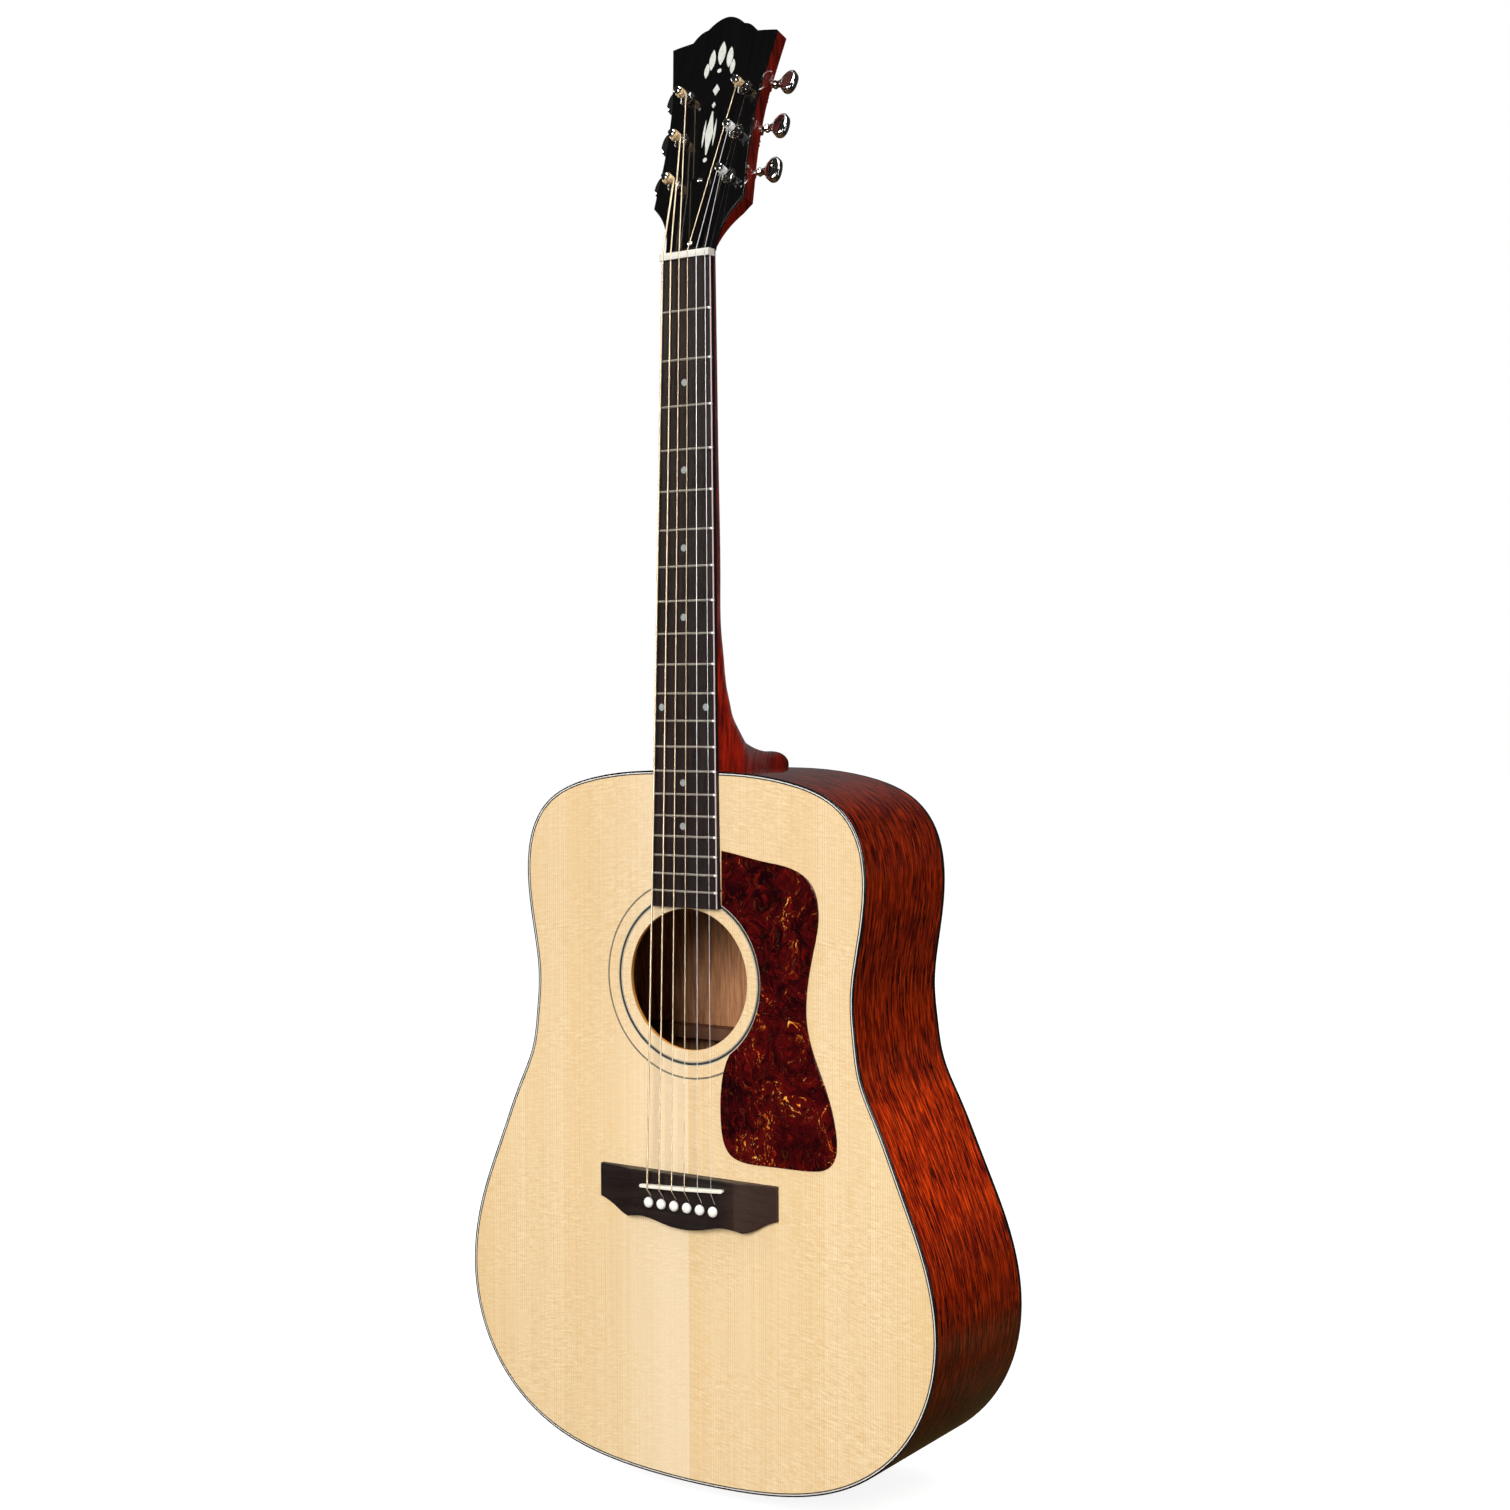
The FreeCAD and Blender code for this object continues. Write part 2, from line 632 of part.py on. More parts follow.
# radius, y from the bridge's top face
PIN_PROFILE = [(0, PIN_LEN), (PIN_R_END - 0.35, PIN_LEN), (PIN_R_END, PIN_LEN - 0.5),
               (PIN_R_TOP, 0), (PIN_R_TOP + 0.02, -0.8), (3.2, -1.0),
               (PIN_HEAD_R - 0.15, -1.35), (PIN_HEAD_R, -1.9), (PIN_HEAD_R - 0.12, -2.5),
               (3.35, -3.2), (2.7, -3.8), (1.8, -4.25), (0.9, -4.45), (0, -4.5)]


def bridge_pin(x):
    face = poly_face([V(x + r, y - BRIDGE_T, PIN_Z) for r, y in PIN_PROFILE])
    return face.revolve(V(x, 0, PIN_Z), V(0, 1, 0), 360)


for n in STRINGS:
    save("bridge_pin_%d" % n, bridge_pin(pin_x(n)))

# ------------------------------------------------------------ strings
BALL_R, BALL_LEN, BALL_Y = 1.9, 3.4, 8.2
BALL_Z = PIN_Z + PIN_R_END + 2.5


def string_path(n):
    """Points from the ball end, up beside the pin, over saddle and nut to the post."""
    r = GAUGES[n - 1] / 2.0
    x_saddle, x_nut = string_x(n, SADDLE_SPREAD), string_x(n, NUT_SPREAD)
    x_pin = pin_x(n)
    z_pin = PIN_Z + PIN_R_TOP + PIN_CLEAR + r + 0.12
    y_saddle = -SADDLE_TOP + x_saddle * x_saddle / (2 * BOARD_R) - r - 0.03
    y_nut = NUT_STRING_Y + x_nut * x_nut / (2 * BOARD_R) - r - 0.02
    z_crest = saddle_z(x_saddle)
    x_post, s_post = post_site(n)
    side = 1 if x_post > 0 else -1
    return [V(x_pin, BALL_Y - 0.3, BALL_Z - 0.3), V(x_pin, 4.6, z_pin),
            V(x_pin, -7.0, z_pin),
            V(x_saddle, y_saddle, z_crest - SADDLE_T / 2 - 0.35),
            V(x_saddle, y_saddle, z_crest), V(x_nut, y_nut, Z_NUT - 0.2),
            V(x_nut, y_nut + 0.05, Z_NUT + NUT_T + 0.1),
            head_pt(x_post - side * (POST_WAIST_R + r + 0.08), s_post, POST_STRING)]


def tube(points, radius):
    """Straight cylinders with balls at the bends."""
    run = None
    for a, b in zip(points[:-1], points[1:]):
        piece = Part.makeCylinder(radius, (b - a).Length, a, b - a)
        run = piece if run is None else run.fuse(piece)
    for p in points[1:-1]:
        run = run.fuse(Part.makeSphere(radius * 1.002, p))
    return run


for n in STRINGS:
    ball = Part.makeCylinder(BALL_R, BALL_LEN, V(pin_x(n) - BALL_LEN / 2, BALL_Y, BALL_Z),
                             V(1, 0, 0))
    save("string_%d" % n, tube(string_path(n), GAUGES[n - 1] / 2.0).fuse(ball))

# ------------------------------------------------------------ fingerboard
FRETS = 20
FRET_W, FRET_H, TANG_W, TANG_D = 1.7, 1.0, 0.5, 1.8
FRET_SINK = 0.02              # the bead's underside stands this far off the crown
SLOT_GAP = 0.01
DOT_R, SIDE_DOT_R = 2.5, 1.0
BOARD_EDGE = 0.6              # bevel along the board's top edges
# fret number, x
DOTS = [(3, 0), (5, 0), (7, 0), (9, 0), (15, 0), (17, 0), (12, 19.1), (12, -19.1)]
SIDE_DOTS = (3, 5, 7, 9, 12, 15, 17)

FRET_Z = [Z_NUT - SCALE_LENGTH * (1 - 2 ** (-n / 12.0)) for n in range(1, FRETS + 1)]


def board_blank():
    blank = yz_prism([(board_y(BOARD_END_Z) - 2, BOARD_END_Z), (board_y(Z_NUT) - 2, Z_NUT),
                      (BOARD_RISE, Z_NUT), (0, Z_BODY_TOP), (0, BOARD_END_Z)], -40, 40)
    taper = xz_prism([(-BOARD_HALF_END, BOARD_END_Z), (BOARD_HALF_END, BOARD_END_Z),
                      (BOARD_HALF_NUT, Z_NUT), (-BOARD_HALF_NUT, Z_NUT)], -20, 20)
    crown = z_cylinder(BOARD_R, -200, 700, y=BOARD_R)
    crown.Placement = board_placement().multiply(crown.Placement)
    return blank.common(taper).common(crown)


def ring_about_board(profile, half, z):
    """Turn a profile of (way up the board, depth) about the board's own axis,
    half wide to each side, for the fret at z."""
    up = (z - Z_BODY_TOP) / BOARD_COS
    angle = math.degrees(half / BOARD_R)
    face = poly_face([V(0, depth, up + w) for w, depth in profile])
    face.rotate(V(0, BOARD_R, 0), V(0, 0, 1), -angle)
    return on_board(face.revolve(V(0, BOARD_R, 0), V(0, 0, 1), 2 * angle))


def edge_wedge(points, side):
    """Loft along one top edge of the board; points are (out, down) from the edge."""
    wires = []
    for z in (BOARD_END_Z - 2.0, Z_NUT + 2.0):
        half = board_half(z)
        y = board_y(z) + half * half / (2 * BOARD_R)
        corners = [V(side * (half + out), y + down, z) for out, down in points]
        wires.append(Part.makePolygon(corners + [corners[0]]))
    return Part.makeLoft(wires, True, True)


def frets():
    profile = []
    for k in range(9):
        t = math.pi * k / 8.0
        profile.append((-FRET_W / 2 * math.cos(t),
                        -FRET_SINK - (FRET_H - FRET_SINK) * math.sin(t)))
    profile += [(TANG_W / 2, -FRET_SINK), (TANG_W / 2, TANG_D),
                (-TANG_W / 2, TANG_D), (-TANG_W / 2, -FRET_SINK)]
    end_cuts = [edge_wedge([(-1.5, -1.6), (-0.28, 0.16), (1.5, 0.16), (1.5, -1.6)], side)
                for side in (1, -1)]
    wires = []
    for z in FRET_Z:
        fret = ring_about_board(profile, board_half(z) - 0.15, z)
        for cutter in end_cuts:
            fret = fret.cut(cutter)
        wires.append(fret)
    return solid_group(wires)


def fret_slots():
    half_w, depth = TANG_W / 2 + SLOT_GAP, TANG_D + 0.03
    profile = [(-half_w, -1.0), (half_w, -1.0), (half_w, depth), (-half_w, depth)]
    return [ring_about_board(profile, board_half(z) + 3, z) for z in FRET_Z]


def space_z(n):
    """Middle of the space below fret n."""
    return (FRET_Z[n - 1] + (FRET_Z[n - 2] if n > 1 else Z_NUT)) / 2


def marker_bores():
    """Cylinders of the face dots and of the dots in the bass edge."""
    bores = []
    for n, x in DOTS:
        z = space_z(n)
        bores.append(y_cylinder(x, z, DOT_R, -20, board_y(z) + 1.4))
    for n in SIDE_DOTS:
        for dz in ((-4, 4) if n == 12 else (0,)):
            z = space_z(n) + dz
            bores.append(Part.makeCylinder(
                SIDE_DOT_R, 30, V(-board_half(z) + 1.5, board_y(z) + 2.8, z), V(-1, 0, 0)))
    return bores


def fingerboard(blank, bores):
    board = blank.cut(Part.Compound(fret_slots())).cut(Part.Compound(bores))
    for side in (1, -1):
        board = board.cut(edge_wedge([(-BOARD_EDGE - 0.5, -0.5), (0.5, BOARD_EDGE + 0.5),
                                      (0.5, -0.5)], side))
    return board


BOARD_BLANK = board_blank()
MARKER_BORES = marker_bores()
save("frets", frets())
save("fret_markers", solid_group([bore.common(BOARD_BLANK) for bore in MARKER_BORES]))
save("fingerboard", fingerboard(BOARD_BLANK, MARKER_BORES))

# ------------------------------------------------------------ nut
NUT_TOP_Y = -2.6


def nut():
    body = yz_prism([(NUT_SEAT, Z_NUT + 0.01), (NUT_SEAT, Z_NUT + NUT_T),
                     (-1.5, Z_NUT + NUT_T), (-2.2, Z_NUT + 3.6),
                     (NUT_TOP_Y, Z_NUT + 1.8), (NUT_TOP_Y, Z_NUT + 0.01)],
                    -BOARD_HALF_NUT, BOARD_HALF_NUT)
    body = body.common(z_cylinder(BOARD_R, Z_NUT - 5, 20, y=NUT_TOP_Y + BOARD_R))
    for n in STRINGS:
        half = GAUGES[n - 1] / 2 + 0.07
        x = string_x(n, NUT_SPREAD)
        y = NUT_STRING_Y + x * x / (2 * BOARD_R)
        body = body.cut(yz_prism([(-9, Z_NUT - 1), (y, Z_NUT - 1),
                                  (y + 0.06, Z_NUT + NUT_T + 1), (-9, Z_NUT + NUT_T + 1)],
                                 x - half, x + half))
    return body


save("nut", nut())

# ------------------------------------------------------------ neck
# y, z along the back of the neck on the centre line, from the head to the heel
THROAT = [(25.0, 900), (22.4, 890), (21.0, 879), (20.8, 869), (21.6, 800), (22.6, 715),
          (23.4, 640), (23.9, 608), (24.6, 588), (26.8, 571.5), (31.6, 557.5),
          (39.5, 546.0), (51.0, 536.0), (66.0, 528.0), (84.0, 522.4), (102.0, 519.8),
          (116.0, 519.0)]
STRAIGHT_SECTIONS = 6         # the first sections stand square to Z
HEEL_ROUND, HEEL_END_ROUND = 21.3, 11.2   # depth of the rounded part
HEEL_CAP_T = 2.0
ROUND_STEPS, FLANK_STEPS = 10, 6


def smooth(t):
    t = max(0.0, min(1.0, t))
    return t * t * (3 - 2 * t)


def neck_half(y, z):
    """Half width of the neck, narrowing down the heel."""
    z = max(Z_BODY_TOP, min(Z_NUT + 8, z))
    return board_half(z) * (1 - 0.42 * smooth((y - 16.0) / 88.0))


def neck_section(k):
    """Closed wire through throat point k, in the plane square to the throat line."""
    y0, z0 = THROAT[k]
    before, after = THROAT[max(0, k - 1)], THROAT[min(len(THROAT) - 1, k + 1)]
    dy, dz = after[0] - before[0], after[1] - before[1]
    norm = math.hypot(dy, dz)
    dy, dz = dy / norm, dz / norm
    if k < STRAIGHT_SECTIONS:
        dy, dz = 0.0, -1.0
    if k == len(THROAT) - 1:
        dy, dz = 1.0, 0.0
    in_y, in_z = dz, -dy                   # into the wood
    # Length of the section: past the fingerboard's face, or into the body.
    to_board = (y0 + 9.0) / -in_y if in_y < -1e-6 else 1e9
    to_body = (z0 - 499.0) / -in_z if in_z < -1e-6 else 1e9
    angle = math.degrees(math.atan2(-in_z, -in_y))
    if angle < 28:
        length = to_board
    elif angle > 62:
        length = to_body
    else:
        length = min(max(to_board, to_body), (z0 - 486.0) / (-in_z))
    if y0 > 80:
        depth = HEEL_END_ROUND + (HEEL_ROUND - HEEL_END_ROUND) * (
            1 - smooth((y0 - 80) / 22.0))
    elif z0 > 600:
        depth = y0 - (board_y(z0) + 2.0)
    else:
        depth = HEEL_ROUND + 5.0 * math.sin(math.pi * smooth((y0 - 24) / 92.0))
    depth = min(depth, length * 0.9)
    # (distance into the wood, share of the full half width)
    stations = []
    for j in range(ROUND_STEPS + 1):
        t = math.pi / 2 * j / ROUND_STEPS
        stations.append((depth * (1 - math.cos(t)), math.sin(t)))
    for j in range(1, FLANK_STEPS + 1):
        stations.append((depth + (length - depth) * j / FLANK_STEPS, 1.0))
    treble = []
    for inward, share in stations:
        y, z = y0 + in_y * inward, z0 + in_z * inward
        treble.append(V(neck_half(y, z) * share, y, z))
    points = treble[::-1] + [V(-p.x, p.y, p.z) for p in treble[1:]]
    return Part.Wire([spline(points), Part.makeLine(points[-1], points[0])])


# x, s of the head's outline, treble half, one list to a curve;
# the last curve crosses the tip
HEAD = [[(21.3, 5.0), (21.6, 10), (22.9, 18.5), (25.4, 26), (29.2, 33), (33.6, 38.6),
         (38.5, 43.4)],
        [(38.5, 43.4), (37.5, 59), (36.4, 75), (36.0, 93.7), (36.5, 112), (38.2, 129.3),
         (41.4, 149.4), (45.3, 170.9)],
        [(45.3, 170.9), (36.5, 172.4), (27.7, 173.5)],
        [(27.7, 173.5), (24.2, 177.6), (20.2, 180.4), (15.8, 181.7)],
        [(15.8, 181.7), (10.4, 186), (5, 188.6), (0, 189.5), (-5, 188.6), (-10.4, 186),
         (-15.8, 181.7)]]


def head_blank(off0, off1):
    edges = [spline([V(x, s, 0) for x, s in curve]) for curve in HEAD]
    edges += [spline([V(-x, s, 0) for x, s in reversed(curve)])
              for curve in reversed(HEAD[:-1])]
    x, s = HEAD[0][0]
    edges.append(Part.makeLine(V(-x, s, 0), V(x, s, 0)))
    blank = Part.Face(Part.Wire(edges)).extrude(V(0, 0, off1 - off0))
    return in_head(blank, 0, 0, off0)


def head_wood():
    """Head under the veneer, its back cut away on a slant next to the neck."""
    slant = [(7.5, -VENEER_T), (37, -HEAD_T - 0.01), (0, -HEAD_T - 4), (-10, -4)]
    wedge = poly_face([head_pt(-60, s, off) for s, off in slant]).extrude(V(120, 0, 0))
    return head_blank(-HEAD_T, -VENEER_T).cut(wedge)


def veneer_line_y(z):
    """y of the face under the head veneer."""
    return HEAD_Y0 + VENEER_T / HEAD_COS + (z - Z_NUT) * HEAD_SIN / HEAD_COS


def neck_stock():
    """Shaft and heel, cut at the body, the board, the nut and the veneer."""
    loft = Part.makeLoft([neck_section(k) for k in range(len(THROAT))], True, False)
    nut_end = Z_NUT + NUT_T
    front = yz_prism([(-90, Z_BODY_TOP - 0.5), (0, Z_BODY_TOP - 0.5), (0, Z_BODY_TOP),
                      (BOARD_RISE, Z_NUT), (NUT_SEAT, Z_NUT), (NUT_SEAT, nut_end),
                      (veneer_line_y(nut_end), nut_end), (veneer_line_y(1100), 1100),
                      (-90, 1100)], -80, 80)
    return loft.cut(box(-100, 100, -100, 300, 400, Z_BODY_TOP + 0.03)).cut(front)


# Cutters shared by the neck and the veneer
ROD_R, ROD_DEPTH = 2.5, 15.2  # truss rod radius and depth below the crown
ROD_START, ROD_LEN = 4.05, 379.0
ANCHOR_R, ANCHOR_LEN = 4.0, 8.0
ROD_GAP = 0.05
SCREW_R = 1.1
POCKET = yz_prism([(4, 882), (19.0, 882), (19.0, 897),
                   (HEAD_Y0 + (918 - Z_NUT) * HEAD_SIN / HEAD_COS, 918), (4, 918)],
                  -4.8, 4.8)
POST_BORES = []
for n in STRINGS:
    x, s = post_site(n)
    POST_BORES += [head_cyl(x, s, 4.22, -7.0, 1), head_cyl(x, s, 3.4, -HEAD_T - 1, -6.9)]
PLATE_SCREW_DS = (-10.6, 16.3)            # plate screws along the head from the post
PLATE_SCREWS = [(post_site(n)[0], post_site(n)[1] + ds)
                for n in STRINGS for ds in PLATE_SCREW_DS]
COVER_SCREWS = [(60.0, -7.0), (11.5, -2.6)]   # s, off of the hole's bottom
COVER_BORES = [head_cyl(0, s, SCREW_R + 0.02, off, 3) for s, off in COVER_SCREWS]


def heel_cap(stock):
    cap = stock.common(box(-60, 60, 60, 160, 500, 560))
    return cap.cut(before_back(-HEEL_CAP_T)).cut(beyond_back(0))


def neck(stock):
    wood = stock.cut(beyond_back(-HEEL_CAP_T))
    wood = wood.fuse(head_wood()).removeSplitter()
    joint = tenon(0).common(box(-50, 50, -5, 200, 480, Z_BODY_TOP + 1))
    wood = wood.fuse(joint).removeSplitter()
    channel = on_board(z_cylinder(ROD_R + ROD_GAP, 4, 400, y=ROD_DEPTH))
    anchor_hole = on_board(z_cylinder(ANCHOR_R + ROD_GAP, 4, 8.1, y=ROD_DEPTH))
    wood = wood.cut(channel.common(box(-50, 50, -50, 50, 500, 883)))
    wood = wood.cut(anchor_hole).cut(POCKET)
    screw_bores = [head_cyl(x, s, SCREW_R + 0.02, -HEAD_T - 8.0, -HEAD_T + 6.5)
                   for x, s in PLATE_SCREWS]
    return wood.cut(Part.Compound(POST_BORES + screw_bores)).cut(Part.Compound(COVER_BORES))


def truss_rod():
    rod = z_cylinder(ROD_R, ROD_START, ROD_LEN, y=ROD_DEPTH).fuse(
        z_cylinder(ANCHOR_R, ROD_START, ANCHOR_LEN, y=ROD_DEPTH))
    return on_board(rod.removeSplitter())


def truss_rod_nut():
    body = hexagon(3.5, 0, 0).extrude(V(0, 0, 7.0))
    body.translate(V(0, ROD_DEPTH, (883.2 - Z_BODY_TOP) / BOARD_COS))
    return on_board(body.cut(z_cylinder(ROD_R + ROD_GAP, 360, 40, y=ROD_DEPTH)))


NECK_STOCK = neck_stock()
save("neck", neck(NECK_STOCK))
save("heel_cap", heel_cap(NECK_STOCK))
save("truss_rod", truss_rod())
save("truss_rod_nut", truss_rod_nut())

# ------------------------------------------------------------ head veneer and inlay
PEARL_T = 1.0


def leaf(x, s, length, width, turn):
    """Pointed oval inlay, centred on (x, s)."""
    a, b = length / 2, width / 2
    edges = [arc(V(0, -a, 0), V(b, 0, 0), V(0, a, 0)),
             arc(V(0, a, 0), V(-b, 0, 0), V(0, -a, 0))]
    pearl = Part.Face(Part.Wire(edges)).extrude(V(0, 0, PEARL_T))
    pearl.rotate(V(0, 0, 0), V(0, 0, 1), turn)
    return in_head(pearl, x, s, -PEARL_T)


def centre_pearl(s, points):
    """Straight-sided inlay on the centre line, points given as (x, s)."""
    face = poly_face([V(a, b, 0) for a, b in points])
    return in_head(face.extrude(V(0, 0, PEARL_T)), 0, s, -PEARL_T)


def lozenge(s, length, width):
    return centre_pearl(s, [(0, -length / 2), (width / 2, 0), (0, length / 2),
                            (-width / 2, 0)])


def spindle(s, length, half_mid, half_end):
    """Long slender lozenge with blunt ends."""
    return centre_pearl(s, [(half_end, -length / 2), (half_mid, 0), (half_end, length / 2),
                            (-half_end, length / 2), (-half_mid, 0),
                            (-half_end, -length / 2)])


def pearl_dot(s):
    return head_cyl(0, s, 1.7, -PEARL_T, 0)


def head_veneer():
    veneer = head_blank(-VENEER_T, 0)
    veneer = veneer.cut(box(-100, 100, -50, 50, 860, Z_NUT + NUT_T + 0.02)).cut(POCKET)
    for cutter in POST_BORES + COVER_BORES + PEARLS:
        veneer = veneer.cut(cutter)
    return veneer


PEARLS = [leaf(0, 160.5, 19.0, 6.4, 0),
          leaf(-7.6, 156.2, 16.5, 5.4, 42), leaf(7.6, 156.2, 16.5, 5.4, -42),
          leaf(-11.2, 148.2, 12.0, 4.2, 78), leaf(11.2, 148.2, 12.0, 4.2, -78),
          pearl_dot(146.6), lozenge(131.5, 9.0, 6.0), lozenge(119.5, 5.0, 3.4),
          spindle(97.5, 34.0, 3.4, 0.5),
          leaf(-4.6, 97.5, 22.0, 1.8, 0), leaf(4.6, 97.5, 22.0, 1.8, 0),
          pearl_dot(76.5)]
save("head_inlay", solid_group(PEARLS))
save("head_veneer", head_veneer())

# ------------------------------------------------------------ rod cover and screws
COVER_T = 1.6
PLATE_T = 1.2                 # tuner plates on the head's back
SCREW_HEAD_R, SCREW_HEAD_H = 1.95, 1.15
# shares of the screw head's radius and height
SCREW_DOME = [(0, 0), (1, 0), (0.96, 0.4), (0.8, 0.75), (0.45, 0.95), (0, 1)]


def truss_rod_cover():
    low_l, low_r = V(-8.6, 7.5, 0), V(8.6, 7.5, 0)
    high_l, high_r = V(-9.6, 54.5, 0), V(9.6, 54.5, 0)
    edges = [Part.makeLine(low_l, low_r), Part.makeLine(low_r, high_r),
             arc(high_r, V(0, 65.0, 0), high_l), Part.makeLine(high_l, low_l)]
    cover = Part.Face(Part.Wire(edges)).extrude(V(0, 0, COVER_T))
    cover = fillet_some(cover, 0.5, lambda e: e.BoundBox.ZMin > COVER_T - 0.01)
    cover = in_head(cover, 0, 0, 0)
    for s, off in COVER_SCREWS:
        cover = cover.cut(head_cyl(0, s, 1.25, -1, 4))
    return cover


def screw_head(x, s, off, up):
    """Slotted low dome on the plane off; up is 1 outwards, -1 to the back."""
    r, h = SCREW_HEAD_R, SCREW_HEAD_H
    dome = outward(revolve_z([(r * a, up * h * b) for a, b in SCREW_DOME]))
    slot_z = up * h - (0.5 if up > 0 else 0.1)
    dome = dome.cut(Part.makeBox(2 * r, 0.5, 0.6, V(-r, -0.25, slot_z)))
    return in_head(dome, x, s, off)


def small_screws():
    screws = []
    for x, s in PLATE_SCREWS:
        shank = head_cyl(x, s, SCREW_R, -HEAD_T - PLATE_T, -HEAD_T + 6.0)
        head = screw_head(x, s, -HEAD_T - PLATE_T, -1)
        screws.append(head.fuse(shank).removeSplitter())
    for s, off in COVER_SCREWS:
        shank = head_cyl(0, s, SCREW_R, off + 0.1, COVER_T)
        screws.append(screw_head(0, s, COVER_T, 1).fuse(shank).removeSplitter())
    return solid_group(screws)


save("truss_rod_cover", truss_rod_cover())
save("small_screws", small_screws())

# ------------------------------------------------------------ tuner plates, bushings
WHEEL_TEETH, MODULE = 14, 1.0
WHEEL_PITCH_R = WHEEL_TEETH * MODULE / 2
WORM_R, WORM_TIP, WORM_ROOT = 3.0, 3.8, 2.0
WORM_OFF = -18.5              # worm axis behind the head face
WORM_DS = WHEEL_PITCH_R + WORM_R   # worm axis beyond the post, towards the tip
SHAFT_R, RUN = 2.0, 0.03
# x, s of the plate about its post
PLATE = [(-8.0, -13.2), (8.0, -13.2), (8.6, 6.4), (8.6, 15.0), (5.0, 19.0),
         (-5.0, 19.0), (-8.6, 15.0), (-8.6, 6.4)]
BUSHING_R = 4.2
BUSHING_BORE_R = POST_R + 0.04
HEX_R = 4.75


def tuner_plate(x, s):
    """Back plate with two cheeks that carry the worm, treble side."""
    plate = poly_face([V(a, b, 0) for a, b in PLATE]).extrude(V(0, 0, PLATE_T))
    plate = plate.makeFillet(1.4, [e for e in plate.Edges
                                   if e.BoundBox.ZLength > PLATE_T - 0.01])
    for x0 in (-7.3, 5.8):
        cheek = Part.makeBox(1.5, 7.0, 8.4, V(x0, WORM_DS - 3.0, -8.4 + 0.001))
        cheek = cheek.makeFillet(1.2, [e for e in cheek.Edges if e.BoundBox.XLength > 1.4
                                       and e.BoundBox.ZMax < -8.0])
        plate = plate.fuse(cheek)
    plate = plate.removeSplitter()
    plate = plate.cut(Part.makeCylinder(
        SHAFT_R + RUN, 30, V(-15, WORM_DS, WORM_OFF + HEAD_T + PLATE_T), V(1, 0, 0)))
    plate = plate.cut(z_cylinder(POST_R + 0.06, -5, 10))
    for ds in PLATE_SCREW_DS:
        plate = plate.cut(z_cylinder(1.3, -5, 10, y=ds))
    return in_head(plate, x, s, -HEAD_T - PLATE_T)


def tuner_bushing(n):
    """Flanged sleeve with a hexagon on the head's face."""
    x, s = post_site(n)
    sleeve = revolve_z([(BUSHING_BORE_R, -7), (BUSHING_R, -7), (BUSHING_R, 0.005),
                        (5.9, 0.005), (5.9, 0.35), (5.6, 0.62), (4.9, 0.7),
                        (BUSHING_BORE_R, 0.7)])
    hex_nut = hexagon(HEX_R, 12 * n, 0.6).extrude(V(0, 0, 1.9))
    hex_nut = hex_nut.common(revolve_z([(0, 0), (HEX_R, 0), (HEX_R, 2.0), (4.1, 2.5),
                                        (0, 2.5)]))
    sleeve = sleeve.fuse(hex_nut.cut(z_cylinder(BUSHING_BORE_R, -3, 9))).removeSplitter()
    return in_head(sleeve, x, s, 0)


plates = [tuner_plate(x, s) for x, s in zip(POST_X, POST_S)]
save("tuner_housings", solid_group(plates + [mirror_x(plate) for plate in plates]))
save("tuner_bushings", solid_group([tuner_bushing(n) for n in STRINGS]))

# ------------------------------------------------------------ tuning machines
WHEEL_W = 3.4
WHEEL_TIP_R, WHEEL_ROOT_R = 7.8, 5.9
TOOTH_TIP_HALF, TOOTH_ROOT_HALF = 0.92 / 2, 1.80 / 2
TOOTH_SLANT = 0.147           # sideways run of a tooth per width of wheel
THREAD_W = 1.15               # thread width at the worm's pitch radius
THREAD_FLANK = 0.268          # slope of the thread's flanks
THREAD_ROOT = WORM_ROOT - 0.15
WORM_HALF = 5.65
POST_TIP, POST_HOLE = 14.2, 10.9
POST_END = -20.2
BUTTON_OUT = 24.2             # button centre beyond its post
BUTTON = (6.3, 9.5, 3.6)      # half sizes along x, along the head, through
BUTTON_TURN = [-2, -9, -14, -12, -10, -15]   # how each button stands at rest, degrees
# shares of the button's half sizes: across, outwards
BUTTON_HALF = [(0.0, -0.97), (0.36, -0.90), (0.72, -0.58), (0.97, -0.02), (0.95, 0.42),
               (0.68, 0.82), (0.34, 0.97), (0.0, 1)]
# radius, off
POST_PROFILE = [(0, POST_TIP), (2.2, POST_TIP), (2.75, POST_TIP - 0.4),
                (2.95, POST_TIP - 1.0), (2.95, POST_TIP - 1.8),
                (POST_WAIST_R, POST_TIP - 2.6), (POST_WAIST_R, 4.5), (2.95, 3.7),
                (3.5, 3.2), (3.5, 2.6), (POST_R, 2.55), (POST_R, -14.3), (3.9, -14.35),
                (3.9, -16.75), (2.5, -16.75), (2.5, POST_END), (0, POST_END)]
GEAR_SCREW_PROFILE = [(0, POST_END), (3.3, POST_END), (3.2, -21.1), (2.4, -21.7),
                      (0, -21.9)]


